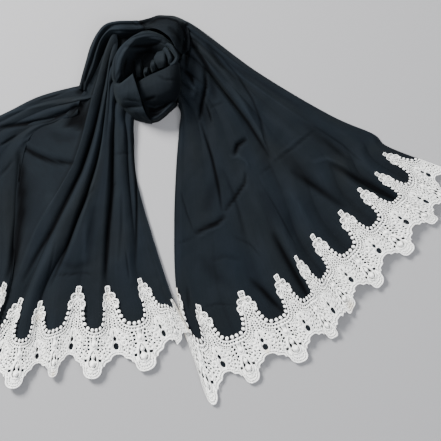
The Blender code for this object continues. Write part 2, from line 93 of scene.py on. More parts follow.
FLOOR_SIDE = 9.0
FLOOR_DROP = 0.0004
FLOOR_COLOUR = (0.2, 0.2, 0.205, 1)
FLOOR_ROUGHNESS = 0.9

work = bmesh.new()
bmesh.ops.create_grid(work, x_segments=1, y_segments=1, size=FLOOR_SIDE / 2)
floor_mesh = bpy.data.meshes.new("floor")
work.to_mesh(floor_mesh)
work.free()
floor_paint = bpy.data.materials.new("floor_paint")
floor_paint.use_nodes = True
floor_shader = floor_paint.node_tree.nodes["Principled BSDF"]
floor_shader.inputs["Base Color"].default_value = FLOOR_COLOUR
floor_shader.inputs["Roughness"].default_value = FLOOR_ROUGHNESS
floor_mesh.materials.append(floor_paint)
floor_piece = bpy.data.objects.new("floor", floor_mesh)
floor_piece.location.z = -FLOOR_DROP
bpy.context.scene.collection.objects.link(floor_piece)

# ---------------------------------------------------------------------------------------------------
# The right half of the panel.
# One width of black crepe chiffon, gathered into the knot at the top and fanned out to its lace,
# with a narrow rolled hem down each long side.  It lies in pleats that soften towards the hem.

PITCH = 76.8            # one repeat of the lace, along the short end of the panel
LACE_DEPTH = 147.0
ROW_LENGTH = 80.0       # flat length given to each station step of the cloth
SEAM = 4                # the station of a fold line at the tips of the lace peaks; the lobes' end is next
CHIFFON_WALL = 0.55

# repeat, then (x, y, lift) at gather, collar, upper, lower, seam and tip
RIGHT_FOLDS = (
    (0.0, (40, 157, 10), (37, 128, 6), (32, 64, 3), (29, -24, 1), (32, -125, 0), (51, -224, 0)),
    (0.5, (41, 163, 16), (45, 130, 8), (45, 64, 1), (48, -29, 0), (48, -125, 0), (88, -310, 0)),
    (1.0, (42, 171, 22), (54, 133, 11), (61, 67, 4), (66, -35, 0), (67, -152, 0), (130, -293, 0)),
    (1.5, (42, 181, 18), (66, 142, 6), (77, 74, 1), (90, -29, 0), (102, -139, 0), (158, -276, 0)),
    (2.0, (43, 190, 24), (74, 154, 10), (88, 80, 2), (112, -19, 4), (135, -130, 6), (196, -262, 5)),
    (2.5, (44, 200, 20), (83, 162, 14), (104, 88, 7), (134, -11, 1), (166, -115, 0), (235, -243, 0)),
    (3.0, (45, 210, 26), (91, 168, 10), (120, 94, 5), (154, -2, 4), (191, -104, 8), (270, -230, 7)),
    (3.5, (47, 221, 21), (99, 174, 13), (136, 101, 9), (173, 8, 4), (210, -85, 0), (286, -204, 0)),
    (4.0, (50, 234, 26), (107, 179, 15), (149, 107, 10), (187, 21, 8), (222, -74, 12), (315, -204, 10)),
    (4.5, (54, 245, 21), (112, 186, 3), (162, 110, 0), (200, 35, 0), (235, -58, 0), (315, -158, 0)),
    (5.0, (55, 253, 26), (118, 189, 15), (173, 117, 11), (214, 50, 9), (248, -40, 12), (345, -146, 11)),
    (5.5, (56, 261, 22), (124, 195, 8), (185, 125, 2), (234, 62, 1), (269, -21, 0), (360, -121, 0)),
    (6.0, (56, 267, 26), (130, 199, 13), (198, 131, 9), (253, 75, 8), (293, -2, 11), (389, -96, 9)),
    (6.5, (55, 274, 22), (135, 205, 9), (211, 138, 4), (272, 83, 2), (307, 16, 0), (408, -69, 0)),
    (7.0, (54, 279, 26), (140, 209, 12), (223, 144, 8), (288, 91, 8), (323, 34, 12), (440, -46, 10)),
    (7.5, (54, 284, 22), (145, 213, 8), (235, 149, 4), (302, 99, 2), (338, 46, 0), (448, -19, 0)),
    (8.0, (53, 289, 24), (149, 216, 10), (246, 153, 7), (315, 107, 7), (350, 59, 11), (474, -10, 9)),
    (8.5, (52, 293, 20), (153, 218, 7), (258, 156, 3), (326, 114, 1), (357, 75, 0), (474, 14, 0)),
    (9.0, (51, 297, 20), (157, 220, 8), (269, 155, 5), (338, 120, 4), (363, 90, 5), (474, 38, 5)),
    (9.4, (50, 300, 10), (161, 221, 3), (280, 151, 1), (347, 122, 0), (374, 100, 0), (478, 61, 0)),
)

# Creases: depth (troughs are negative), half width, how much painted shade or highlight, then points in
# plan
RIGHT_CREASES = (
    (-6, 3.2, -1.1, (45, 293), (50, 275), (50, 250), (48, 222)),
    (-1.5, 1.6, -0.3, (48, 291), (62, 277), (86, 259)),
    (-1.8, 1.6, -0.4, (62, 273), (69, 251), (86, 226)),
    (-5.5, 3.2, -1.1, (50, 286), (56, 270), (67, 250), (86, 221), (109, 190), (131, 162)),
    (-3.5, 2.8, -1, (112, 186), (131, 162), (147, 141), (165, 112), (184, 80)),
    (3.5, 5, 0.3, (70, 262), (93, 237), (118, 205), (142, 168), (163, 128), (181, 93)),
    (-1.8, 1.8, -0.5, (80, 266), (106, 243), (131, 214), (154, 178), (170, 138), (182, 93)),
    (-3, 4.5, -0.6, (82, 264), (94, 245), (110, 222)),
    (-2, 1.6, -0.45, (165, 149), (173, 114), (182, 91)),
    (3, 5, 0.2, (59, 176), (62, 189), (58, 205)),
    (-3.5, 3, -1, (45, 221), (56, 211), (62, 195)),
    (-4.5, 3, -1.1, (78, 229), (80, 198), (72, 158), (70, 141)),
    (-2, 6, -0.4, (85, 214), (93, 192), (96, 173)),
    (-2.6, 2.3, -0.9, (72, 141), (90, 83), (101, 32), (106, -3)),
    (-2.5, 1.8, -0.6, (80, 170), (86, 154), (90, 139)),
    (-1.2, 1.6, -0.3, (86, 162), (109, 173)),
    (-5, 3.6, -1.2, (112, -8), (98, -21), (78, -30), (61, -38)),
    (2, 3, 0.2, (106, -21), (86, -32), (67, -43)),
    (-1.4, 1.5, -0.4, (61, -35), (50, -6), (40, 29)),
    (-1, 1.5, -0.3, (35, -54), (51, -48), (64, -42)),
    (-3, 2.6, -0.95, (109, -3), (125, 18), (142, 43), (144, 62)),
    (2, 3, 0.3, (118, 83), (131, 86), (144, 77), (150, 67)),
    (-5, 3.4, -1.2, (125, 86), (131, 104), (146, 114)),
    (1, 1.6, 0.25, (184, 80), (222, 109), (253, 133)),
    (-1.2, 1.8, -0.35, (187, 75), (226, 104), (254, 128)),
    (-1, 1.5, -0.35, (253, 134), (299, 104), (330, 75)),
    (0.8, 1.8, 0.2, (112, 229), (170, 189), (227, 149), (253, 134)),
    (-1.2, 3.5, -0.25, (125, 230), (182, 195), (240, 157)),
    (-1.4, 1.5, -0.35, (93, 237), (115, 221), (131, 205)),
    (-1.2, 1.5, -0.35, (184, 70), (162, 53)),
    (-0.8, 1.5, -0.25, (166, 46), (194, 0), (229, -66)),
    (-5, 6, -1, (278, 75), (302, 62), (325, 46), (346, 35), (373, 22), (392, 10)),
    (1.8, 3.2, 0.3, (248, 75), (274, 82), (299, 70), (320, 56)),
    (-2.4, 5, -0.5, (214, 64), (250, 40), (286, 14), (310, 0)),
    (-3, 4.5, -0.8, (149, -109), (170, -128), (190, -149), (211, -170)),
    (-3.5, 4.5, -0.9, (186, -35), (205, -70), (224, -104), (250, -149)),
    (-1.5, 3, -0.3, (51, -123), (54, -162)),
    (-1.6, 4, -0.3, (267, 115), (291, 94), (314, 75)),
    (-1.2, 3, -0.25, (88, -82), (110, -74), (138, -80)),
    (-0.9, 1.6, -0.3, (78, -155), (99, -150), (123, -152)),
    (-1.2, 3, -0.3, (106, 67), (122, 32), (134, -6), (144, -48)),
    (1.2, 5, 0.15, (208, 35), (230, 6), (250, -26)),
    (-1, 2, -0.3, (122, -42), (150, -54), (170, -77)),
    (-2, 9, -0.35, (58, 272), (61, 237), (58, 202)),
    (-1.5, 10, -0.3, (106, 67), (93, 32), (80, -6)),
    (-2, 9, -0.35, (203, 88), (230, 61), (266, 32), (302, 3)),
    (-1.5, 9, -0.3, (230, 147), (266, 112), (302, 83)),
    (-1.5, 10, -0.3, (170, 32), (195, -8), (218, -48)),
    (1.5, 9, 0.2, (134, 64), (154, 22), (179, -19)),
    (1.5, 9, 0.2, (170, 157), (206, 131), (230, 112)),
    (-1.5, 8, -0.3, (64, 184), (77, 157), (90, 128)),
    (-1.5, 9, -0.25, (70, -72), (94, -104), (126, -128)),
)


def curve_slopes(knots, steady):
    """Slopes of a smooth curve through knots; a steady one never swings past them."""
    slopes = np.empty_like(knots)
    step = np.diff(knots, axis=0)
    slopes[0], slopes[-1] = step[0], step[-1]
    before, after = step[:-1], step[1:]
    slopes[1:-1] = (before + after) / 2
    if steady:
        same = before * after > 0
        total = np.where(same, before + after, 1.0)
        slopes[1:-1] = np.where(same, 2 * before * after / total, 0.0)
    return slopes


def along(knots, at, steady=False, each=False):
    """Points at parameters `at` on the smooth curves through the rows of knots.

    With `each`, every parameter has its own curve, and knots holds the knots of one after another."""
    if each:
        knots = np.moveaxis(knots, 1, 0)
    slopes = curve_slopes(knots, steady)
    first = np.clip(np.floor(at).astype(int), 0, len(knots) - 2)
    start = (first, np.arange(len(at))) if each else (first,)
    end = (first + 1, *start[1:])
    f = (at - first).reshape((-1,) + (1,) * (knots.ndim - len(start)))
    return (
        (2 * f**3 - 3 * f**2 + 1) * knots[start]
        + (f**3 - 2 * f**2 + f) * slopes[start]
        + (3 * f**2 - 2 * f**3) * knots[end]
        + (f**3 - f**2) * slopes[end]
    )


FLAT_LIT = 0.78         # painted light of flat cloth; a painted highlight takes ridges to 1 and painted shade deep valleys to 0
RIDGE_LIT = 0.15        # painted highlight on the ridge of a full fold
VALLEY_DARK = 0.85      # painted shade down in its valley
FULL_FOLD = 9           # rise from valley to ridge of a full fold
CRISP_POWER = 2.4       # how much sharper than its ridge a crisp fold's valley is
VALLEY_POWER = 5        # how narrow the painted shade in a valley is
CREASE_END_POWER = 0.6  # how soon a crease fades in from its ends


def fold_lift(lifts, at, crispness):
    """Lifts across the folds at each station: round ridges and, the crisper the fold, sharper valleys.

    Also each point's painted light, from painted shade at 0 down in a deep valley
    to 1 on a ridge or on flat cloth."""
    first = np.clip(np.floor(at).astype(int), 0, len(lifts) - 2)
    f = np.clip(at - first, 0, 1)[:, None]
    a, b = lifts[first], lifts[first + 1]
    from_valley = np.where(b > a, f, 1 - f)
    crisp = 1 - (1 - from_valley) ** CRISP_POWER
    soft = from_valley**2 * (3 - 2 * from_valley)
    share = crisp * crispness + soft * (1 - crispness)
    rise = np.abs(b - a)
    full = np.clip(rise / FULL_FOLD, 0, 1)
    lit = FLAT_LIT + RIDGE_LIT * share * full
    lit = lit - VALLEY_DARK * (1 - from_valley) ** VALLEY_POWER * full * crispness
    return np.minimum(a, b) + rise * share, lit


def drape(grid, columns, rows, crispness, creases):
    """Points of draped cloth in millimetres and their painted light, at columns and rows of its table."""
    lines = along(grid[:, :, :2], columns)
    plan = along(lines, rows, each=True)
    lifts, lit = fold_lift(grid[:, :, 2], columns, crispness)
    lift = along(lifts, rows, steady=True, each=True)
    shade = along(lit, rows, steady=True, each=True)
    for depth, half_width, tone, *points in creases:
        press = crease_share(plan, np.array(points, float), half_width)
        lift = lift + depth * press
        shade = shade + tone * press
    return np.column_stack([plan, lift]), np.clip(shade, 0, 1)


def crease_share(plan, points, half_width):
    """How much of a crease each point of the plan gets; it fades out towards the crease's ends."""
    ends = np.linalg.norm(np.diff(points, axis=0), axis=1)
    whole = ends.sum()
    near = np.full(len(plan), np.inf)
    place = np.zeros(len(plan))
    start = 0.0
    for a, b, length in zip(points[:-1], points[1:], ends):
        run = (b - a) / length
        t = np.clip((plan - a) @ run, 0, length)
        away = np.linalg.norm(plan - a - t[:, None] * run, axis=1)
        closer = away < near
        near[closer] = away[closer]
        place[closer] = (start + t[closer]) / whole
        start += length
    return np.exp(-((near / half_width) ** 2)) * np.sin(pi * place) ** CREASE_END_POWER


def ripple(points, size, height):
    """Soft uneven waves over a list of points, in the points' own unit."""
    return np.array([noise.noise(Vector(p) / size) for p in points]) * height


BEDDING = 1.3           # how far soft waves lift the cloth off the surface
WAVE_SIZE = 38
CRINKLE = 0.4           # height of the small waves between them
CRINKLE_SIZE = 13
SETTLED_SIDE = 25       # from the hem, over which the cloth settles down to it
SETTLED_SHARE = 0.3
LEAST_LIFT = 0.05
TUCK = 26.0             # of cloth that runs on into the knot past the gather
KNOT_MIDDLE = np.array([-11.0, 222.0])
TUCKED_LIFT = 9.0


def on_panel(panel, flat):
    """Where flat points of a panel come to lie; y counts down from the tips of the lace peaks.

    A panel is its folds, its creases, then for each station how crisp and how full its folds are."""
    folds, creases, crispness, fullness = panel
    repeats = np.array([row[0] for row in folds])
    grid = np.array([row[1:] for row in folds], float)
    grid[:, :, 2] *= fullness
    inward = KNOT_MIDDLE - grid[:, 0, :2]
    inward *= TUCK / np.linalg.norm(inward, axis=1)[:, None]
    tucked = np.column_stack([grid[:, 0, :2] + inward, np.minimum(grid[:, 0, 2], TUCKED_LIFT)])
    grid = np.concatenate([tucked[:, None], grid], axis=1)
    columns = np.interp(flat[:, 0] / PITCH, repeats, np.arange(len(repeats)))
    rows = 1 + SEAM + np.where(flat[:, 1] < 0, flat[:, 1] / ROW_LENGTH, flat[:, 1] / LACE_DEPTH)
    points, lit = drape(grid, columns, rows, np.array([crispness[0], *crispness]), creases)
    from_side = np.minimum(flat[:, 0] - repeats[0] * PITCH, repeats[-1] * PITCH - flat[:, 0])
    settle = np.clip(from_side / SETTLED_SIDE, SETTLED_SHARE, 1)
    waves = ripple(points, WAVE_SIZE, BEDDING) + ripple(points, CRINKLE_SIZE, CRINKLE)
    points[:, 2] += (BEDDING + waves) * settle
    points[:, 2] = np.maximum(points[:, 2], LEAST_LIFT)
    return points, lit


def add_node(tree, kind, given=None, **settings):
    """A node with its settings; each given socket gets its value, or a link from its output."""
    node = tree.nodes.new("ShaderNode" + kind)
    for key, value in settings.items():
        setattr(node, key, value)
    for socket, value in (given or {}).items():
        if isinstance(value, bpy.types.NodeSocket):
            tree.links.new(value, node.inputs[socket])
        else:
            node.inputs[socket].default_value = value
    return node


def compute(tree, operation, *numbers):
    """What comes out of a Math node for some numbers or outputs."""
    return add_node(tree, "Math", dict(enumerate(numbers)), operation=operation).outputs[0]


def scaled(tree, colour, strength):
    """A colour or vector made stronger or weaker."""
    return add_node(tree, "VectorMath", {0: colour, "Scale": strength}, operation="SCALE").outputs["Vector"]


def new_group(name, inputs, outputs):
    """An empty node group with the named sockets, what comes into it and what it puts out."""
    group = bpy.data.node_groups.new(name, "ShaderNodeTree")
    for way, sockets in (("INPUT", inputs), ("OUTPUT", outputs)):
        for label, kind in sockets.items():
            group.interface.new_socket(label, in_out=way, socket_type="NodeSocket" + kind)
    return group, group.nodes.new("NodeGroupInput").outputs, group.nodes.new("NodeGroupOutput").inputs


THREAD_SCALE = 640      # of the chiffon's over and under threads, in waves to a metre
THREAD_WANDER = 1.2
PEBBLE_SCALE = 420
SLUB_SCALE = (260, 12, 12)
CLOUD_SCALE = 14
HUE_SCALE = 9
PEBBLE_HEIGHT, SLUB_HEIGHT = 1.6, 0.5       # next to the threads
# What each texture adds to the colour's strength or the roughness, and what is there without it
GRAIN = (0.5, 0.72)
DRIFT = (0.5, 0.78)
STREAK = (0.3, 0.85)
CREPE_ROUGHNESS = (0.2, 0.68)
WARM_TINT = (1.16, 1.0, 0.84, 1)
COOL_TINT = (0.84, 1.0, 1.18, 1)


def crepe_group():
    """Crepe chiffon: over and under threads, a pebbled surface, faint slubs and a soft change of hue."""
    group, given, made = new_group(
        "crepe_chiffon",
        {"Colour": "Color", "Painted Shade Colour": "Color", "Lit": "Float", "Place": "Vector"},
        {"Base Color": "Color", "Height": "Float", "Roughness": "Float"},
    )

    def texture(kind, sockets, **settings):
        """The grey of a texture laid on the flat cut."""
        return add_node(group, kind, {"Vector": given["Place"], **sockets}, **settings).outputs["Fac"]

    wave = {"Scale": THREAD_SCALE, "Distortion": THREAD_WANDER}
    warp = texture("TexWave", wave, bands_direction="X")
    weft = texture("TexWave", wave, bands_direction="Y")
    pebble = texture("TexNoise", {"Scale": PEBBLE_SCALE, "Detail": 2.0})
    cloud = texture("TexNoise", {"Scale": CLOUD_SCALE, "Detail": 3.0})
    hue = texture("TexNoise", {"Scale": HUE_SCALE, "Detail": 1.0})
    stretch = add_node(group, "Mapping", {"Scale": SLUB_SCALE, "Vector": given["Place"]})
    slub = texture("TexNoise", {"Scale": 1.0, "Vector": stretch.outputs["Vector"]})

    height = compute(group, "MULTIPLY", warp, weft)
    height = compute(group, "ADD", height, compute(group, "MULTIPLY", pebble, PEBBLE_HEIGHT))
    height = compute(group, "ADD", height, compute(group, "MULTIPLY", slub, SLUB_HEIGHT))
    group.links.new(height, made["Height"])

    grain = compute(group, "MULTIPLY_ADD", pebble, *GRAIN)
    drift = compute(group, "MULTIPLY_ADD", cloud, *DRIFT)
    streak = compute(group, "MULTIPLY_ADD", slub, *STREAK)
    strength = compute(group, "MULTIPLY", compute(group, "MULTIPLY", grain, drift), streak)
    # Painted shade: the lit mask mixes the colour down to the painted shade colour in valleys and recesses
    tones = {"Factor": given["Lit"], "A": given["Painted Shade Colour"], "B": given["Colour"]}
    shade = add_node(group, "Mix", tones, data_type="RGBA")
    tint = add_node(group, "Mix", {"Factor": hue, "A": WARM_TINT, "B": COOL_TINT}, data_type="RGBA")
    both = {0: shade.outputs["Result"], 1: tint.outputs["Result"]}
    tinted = add_node(group, "VectorMath", both, operation="MULTIPLY")
    group.links.new(scaled(group, tinted.outputs["Vector"], strength), made["Base Color"])
    group.links.new(compute(group, "MULTIPLY_ADD", pebble, *CREPE_ROUGHNESS), made["Roughness"])
    return group


def fibre_material(name, group, given, finish, relief, strength):
    """A material whose colour and relief come from a node group laid out on the flat cut.

    Its finish is set on the shader itself; relief is how far the threads stand up, in millimetres."""
    material = bpy.data.materials.new(name)
    material.use_nodes = True
    tree = material.node_tree
    shader = tree.nodes["Principled BSDF"]
    for socket, value in finish.items():
        shader.inputs[socket].default_value = value
    place = add_node(tree, "UVMap", uv_map="cut").outputs["UV"]
    # The lit mask: painted light and shade on the chiffon; on the lace, beige and painted shade
    lit = add_node(tree, "Attribute", attribute_name="lit").outputs["Fac"]
    fibre = add_node(tree, "Group", {"Place": place, "Lit": lit, **given}, node_tree=group).outputs
    bump = {"Distance": relief * MM, "Strength": strength, "Height": fibre["Height"]}
    tree.links.new(add_node(tree, "Bump", bump).outputs["Normal"], shader.inputs["Normal"])
    for output in fibre:
        if output.name != "Height":
            tree.links.new(output, shader.inputs[output.name])
    return material


# The chiffon's colour where it is lit, and the painted shade colour it is mixed down to in valleys and
# recesses
CHIFFON_COLOURS = {"Colour": (0.0052, 0.0071, 0.0091, 1), "Painted Shade Colour": (0.0002, 0.0003, 0.0006, 1)}
CHIFFON_FINISH = {
    "Specular IOR Level": 0.03,
    "Sheen Weight": 0.015,
    "Sheen Roughness": 0.5,
    "Sheen Tint": (0.62, 0.78, 0.86, 1),
}
CREPE_RELIEF = 0.25
CREPE_BUMP = 0.35
chiffon = fibre_material(
    "black_chiffon", crepe_group(), CHIFFON_COLOURS, CHIFFON_FINISH, CREPE_RELIEF, CREPE_BUMP
)


def lay_mesh(name, points, faces, cut, lit, material):
    """A piece of millimetre points, with their places in the flat cut and their lit mask: painted light
    and shade on the chiffon, beige and painted shade on the lace.
    """
    mesh = bpy.data.meshes.new(name)
    mesh.from_pydata(((points - (*MIDDLE, 0)) * MM).tolist(), [], faces)
    mesh.update()
    corner = np.empty(len(mesh.loops), np.int32)
    mesh.loops.foreach_get("vertex_index", corner)
    layer = mesh.uv_layers.new(name="cut")
    layer.data.foreach_set("uv", (cut[corner] * MM).astype(np.float32).ravel())
    mesh.attributes.new("lit", "FLOAT", "POINT").data.foreach_set("value", lit.astype(np.float32))
    mesh.materials.append(material)
    piece = bpy.data.objects.new(name, mesh)
    bpy.context.scene.collection.objects.link(piece)
    return piece


def cloth_piece(name, points, faces, cut, lit, wall, material):
    """A thin shell of cloth, from its under side up."""
    piece = lay_mesh(name, points, faces, cut, lit, material)
    if sum(polygon.normal.z * polygon.area for polygon in piece.data.polygons) < 0:
        piece.data.flip_normals()
    piece.data.shade_smooth()
    shell = piece.modifiers.new("wall", "SOLIDIFY")
    shell.thickness = wall * MM
    shell.offset = 1
    return piece


def grid_faces(deep, wide):
    """Quads of a grid of points, `wide` points to each of its `deep` rows."""
    return [
        (r * wide + c, r * wide + c + 1, (r + 1) * wide + c + 1, (r + 1) * wide + c)
        for r in range(deep - 1)
        for c in range(wide - 1)
    ]


CLOTH_END = 83.0        # how far down from the peak tips the chiffon is whole, behind the lace
BACKING_ROWS = 12
# Where it ends behind each lobe: across from the peak's middle, and down from the peak's tip
BACKING_EDGE = ((0, 105), (8, 107), (14, 113), (21, 117), (27, 131), (32, 139), (38.4, 142))
ACROSS_STEP = 2.45
DOWN_STEP = 3.1
HEM_WIDTH = 3.0
HEM_RISE = 0.7
HEM_FADE = 1.6          # of its width, where its rise ends


def chiffon_panel(name, panel, hem_sides):
    """One half of the panel from inside the knot to its edge behind the lace."""
    first, last = panel[0][0][0] * PITCH, panel[0][-1][0] * PITCH
    across = np.linspace(first, last, int((last - first) / ACROSS_STEP) + 1)
    top = -SEAM * ROW_LENGTH - TUCK
    down = np.linspace(top, CLOTH_END, int((CLOTH_END - top) / DOWN_STEP) + 1)
    from_peak = np.abs(across - PITCH * np.round(across / PITCH))
    end = np.interp(from_peak, *np.transpose(BACKING_EDGE))
    backing = CLOTH_END + (end - CLOTH_END) * np.linspace(0, 1, BACKING_ROWS + 1)[1:, None]
    depths = np.concatenate([np.tile(down[:, None], len(across)), backing])
    cut = np.column_stack([np.tile(across, len(depths)), depths.ravel()])
    points, lit = on_panel(panel, cut)
    for side, edge in (("first", first), ("last", last)):
        if side in hem_sides:
            from_edge = np.abs(cut[:, 0] - edge)
            points[:, 2] += HEM_RISE * np.clip(HEM_FADE - from_edge / HEM_WIDTH, 0, 1)
    faces = grid_faces(len(depths), len(across))
    return cloth_piece(name, points, faces, cut, lit, CHIFFON_WALL, chiffon)


RIGHT_CRISPNESS = (0.95, 0.6, 0.4, 0.4, 0.35, 0.3)
RIGHT_FULLNESS = (0.8, 0.6, 0.35, 0.38, 0.7, 0.9)
RIGHT_PANEL = (RIGHT_FOLDS, RIGHT_CREASES, RIGHT_CRISPNESS, RIGHT_FULLNESS)
right_half = chiffon_panel("right_half", RIGHT_PANEL, ("first", "last"))
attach(right_half, "root")
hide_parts("right_fan")

# ---------------------------------------------------------------------------------------------------
# The left half of the panel.
# The other end of the same width of chiffon.  It drops from the knot in long crisp pleats and runs on
# under its own far side, which is turned back over it.

LEFT_FOLDS = (
    (1.0, (-35, 144, 6), (-35, 112, 5), (-32, 56, 4), (-11, -24, 3), (30, -148, 4.5), (64, -210, 6)),
    (1.5, (-42, 147, 12), (-40, 114, 10), (-37, 54, 6), (-21, -29, 3), (1, -104, 3), (37, -212, 5)),
    (2.0, (-49, 153, 11), (-46, 118, 5), (-43, 51, 1), (-35, -32, 0), (-27, -110, 0), (35, -242, 1)),
    (2.5, (-57, 161, 18), (-58, 125, 12), (-56, 51, 8), (-51, -32, 5), (-42, -118, 4), (-14, -257, 3)),
    (3.0, (-63, 173, 12), (-67, 138, 3), (-69, 72, 0), (-74, -29, 0), (-78, -122, 0), (-55, -267, 0)),
    (3.5, (-67, 187, 22), (-71, 149, 15), (-77, 72, 10), (-88, -29, 7), (-94, -128, 5), (-102, -270, 5)),
    (4.0, (-69, 202, 18), (-74, 160, 14), (-83, 74, 10), (-104, -30, 6), (-122, -122, 3), (-142, -267, 0)),
    (4.5, (-70, 216, 23), (-77, 171, 16), (-89, 77, 10), (-122, -34, 7), (-154, -130, 6), (-164, -267, 6)),
    (5.0, (-69, 230, 19), (-77, 180, 8), (-94, 78, 1), (-134, -38, 0), (-184, -146, 0), (-190, -277, 0)),
    (5.5, (-68, 246, 24), (-80, 184, 16), (-103, 79, 12), (-152, -36, 9), (-200, -144, 9), (-227, -285, 8)),
    (6.0, (-66, 261, 20), (-84, 187, 9), (-112, 80, 1), (-166, -32, 0), (-213, -142, 0), (-272, -283, 0)),
    (6.25, (-68, 273, 22), (-98, 184, 18), (-128, 82, 8), (-186, -26, 3), (-226, -134, 2), (-285, -275, 2)),
    (6.5, (-73, 268, 16), (-104, 178, 7), (-138, 70, 3), (-195, -26, 1), (-234, -128, 0), (-294, -267, 0)),
    (6.7, (-100, 192, 2), (-158, 143, 0), (-205, 117, 0), (-226, 10, 0), (-245, -123, 0), (-309, -256, 0)),
    (6.9, (-106, 200, 2), (-166, 153, 0), (-218, 122, 0), (-240, 14, 0), (-258, -118, 0), (-322, -250, 0)),
)

# Creases as for the right half; their tone is painted shade or highlight
LEFT_CREASES = (
    (-3, 5.5, -1.2, (-219, 96), (-215, 69), (-216, -11), (-226, -83), (-237, -118)),
    (-3, 7, -1.6, (-116, 181), (-120, 154), (-125, 125)),
    (-2, 5, -1.3, (-128, 168), (-131, 149), (-142, 130)),
    (-5, 3.4, -1.2, (-218, 104), (-192, 88), (-165, 78), (-128, 74)),
    (1.6, 3.2, 0.15, (-211, 110), (-189, 96), (-163, 87), (-130, 83)),
    (-4.5, 3.4, -1.15, (-70, 141), (-70, 80), (-70, 29), (-77, -37), (-81, -112)),
    (-3.6, 2.8, -0.95, (-86, 126), (-92, 96), (-97, 72), (-111, 27), (-126, -11),
     (-144, -67), (-170, -125)),
    (-2, 2, -0.5, (-78, 170), (-83, 144), (-86, 126)),
    (-4, 3.2, -1.1, (-82, 181), (-90, 160), (-99, 128), (-109, 96), (-120, 61),
     (-134, 32), (-154, -8), (-166, -32), (-186, -64), (-214, -118)),
    (-3, 2.2, -0.85, (-40, 134), (-32, 56), (-30, 8), (-32, -91)),
    (-1.5, 1.5, -0.4, (-67, 88), (-53, 90), (-38, 91)),
    (-1.2, 1.5, -0.35, (-69, 37), (-61, 45)),
    (-1.5, 1.5, -0.4, (-48, -64), (-45, -88), (-42, -112)),
    (-1.2, 1.8, -0.5, (-162, -104), (-130, -102), (-98, -101)),
    (-1.6, 2.4, -0.45, (-96, 38), (-109, 22), (-128, -19)),
    (1.2, 4, 0.2, (-112, -19), (-112, -58), (-115, -99)),
    (-1, 1.5, -0.3, (-160, -48), (-166, -83), (-176, -118)),
    (-1.5, 3, -0.25, (-54, 32), (-54, -24), (-58, -83)),
    (1.5, 4, 0.2, (-51, 141), (-51, 118), (-50, 96)),
    (-1.5, 8, -0.3, (-173, 128), (-154, 112), (-122, 115)),
    (-1.5, 10, -0.3, (-202, 64), (-205, 16), (-211, -32)),
    (1, 8, 0.15, (-170, 56), (-166, 8), (-179, -40)),
    (-1.5, 7, -0.3, (-96, 8), (-102, -40), (-106, -83)),
    (-1.5, 6, -0.3, (-154, -83), (-130, -93), (-98, -83)),
)

LEFT_CRISPNESS = (0.95, 0.95, 0.9, 0.85, 0.75, 0.5)
LEFT_FULLNESS = (1, 1, 1, 0.95, 0.9, 0.9)
LEFT_PANEL = (LEFT_FOLDS, LEFT_CREASES, LEFT_CRISPNESS, LEFT_FULLNESS)
left_half = chiffon_panel("left_half", LEFT_PANEL, ("first",))
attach(left_half, "root")
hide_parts("left_fan")

# ---------------------------------------------------------------------------------------------------
# The wing: the far side of the left half, turned back over it.
# The same chiffon, lying nearly flat with a soft roll along the fold that shows at its right.

WING_FOLDS = (
    (6.7, (-133, 149, 6), (-160, 142, 5), (-202, 115, 3), (-220, 32, 3), (-232, -118, 3), (-285, -258, 4)),
    (7.0, (-132, 154, 8), (-165, 144, 7), (-213, 112, 5), (-235, 30, 4), (-240, -117, 6), (-310, -227, 5)),
    (7.5, (-132, 160, 5), (-172, 147, 3), (-230, 110, 0), (-264, 37, 0), (-266, -90, 0), (-352, -205, 0)),
    (8.0, (-131, 167, 10), (-178, 153, 8), (-245, 115, 5), (-291, 61, 6), (-293, -64, 9), (-390, -160, 7)),
    (8.5, (-127, 173, 6), (-181, 159, 3), (-248, 126, 0), (-307, 80, 0), (-312, -34, 0), (-416, -118, 0)),
    (9.0, (-107, 178, 10), (-182, 166, 8), (-250, 134, 6), (-315, 94, 6), (-326, -2, 8), (-437, -77, 7)),
    (9.5, (-105, 185, 8), (-183, 171, 4), (-250, 140, 1), (-320, 106, 0), (-338, 30, 0), (-453, -35, 0)),
    (10.0, (-104, 194, 8), (-184, 177, 7), (-250, 146, 5), (-323, 114, 5), (-346, 62, 7), (-462, 6, 6)),
    (10.4, (-106, 202, 3), (-185, 182, 2), (-250, 151, 0), (-325, 123, 0), (-349, 93, 0), (-467, 48, 0)),
)

# Creases as for the right half; their tone is painted shade or highlight
WING_CREASES = (
    (-5, 3.4, -1.2, (-253, 131), (-205, 138), (-170, 144), (-128, 160)),
    (-4, 5, -1.2, (-141, 150), (-131, 160), (-122, 168)),
    (-2.5, 4.5, -0.7, (-128, 187), (-117, 187), (-106, 190)),
    (1.6, 1.6, 0.6, (-133, 174), (-118, 177), (-106, 178)),
    (-2.5, 2.5, -0.7, (-110, 213), (-114, 198), (-109, 184)),
    (-1.5, 2, -0.4, (-130, 202), (-122, 192), (-114, 189)),
    (-2.5, 2.2, -0.6, (-250, 102), (-237, 110), (-221, 120)),
    (2, 3, 0.2, (-221, 102), (-197, 117), (-139, 149)),
    (-2, 1.8, -0.5, (-214, 106), (-192, 114), (-138, 142)),
    (-5, 4.2, -1.2, (-219, 96), (-218, 69), (-221, -11), (-232, -93), (-240, -115)),
    (-1.6, 2.5, -0.35, (-250, 54), (-240, 64), (-227, 80)),
    (-1.5, 2.5, -0.3, (-282, 96), (-262, 32), (-272, -48)),
    (-1.5, 2, -0.4, (-186, 174), (-160, 182), (-138, 192)),
    (1.5, 3, 0.2, (-250, 150), (-205, 162), (-157, 173)),
)

WING_CRISPNESS = (0.95, 0.6, 0.5, 0.5, 0.5, 0.4)
WING_FULLNESS = (0.9, 0.45, 0.35, 0.5, 0.9, 1)
WING_PANEL = (WING_FOLDS, WING_CREASES, WING_CRISPNESS, WING_FULLNESS)
wing = chiffon_panel("wing", WING_PANEL, ("last",))
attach(wing, "root")
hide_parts("left_wing")

# ---------------------------------------------------------------------------------------------------
# The turns of the knot.
# The middle of the panel, twisted like a rope and wound once round itself: a band round the left, one
# over the top, a roll round the hollow and two flaps in front, with small pleats standing inside.

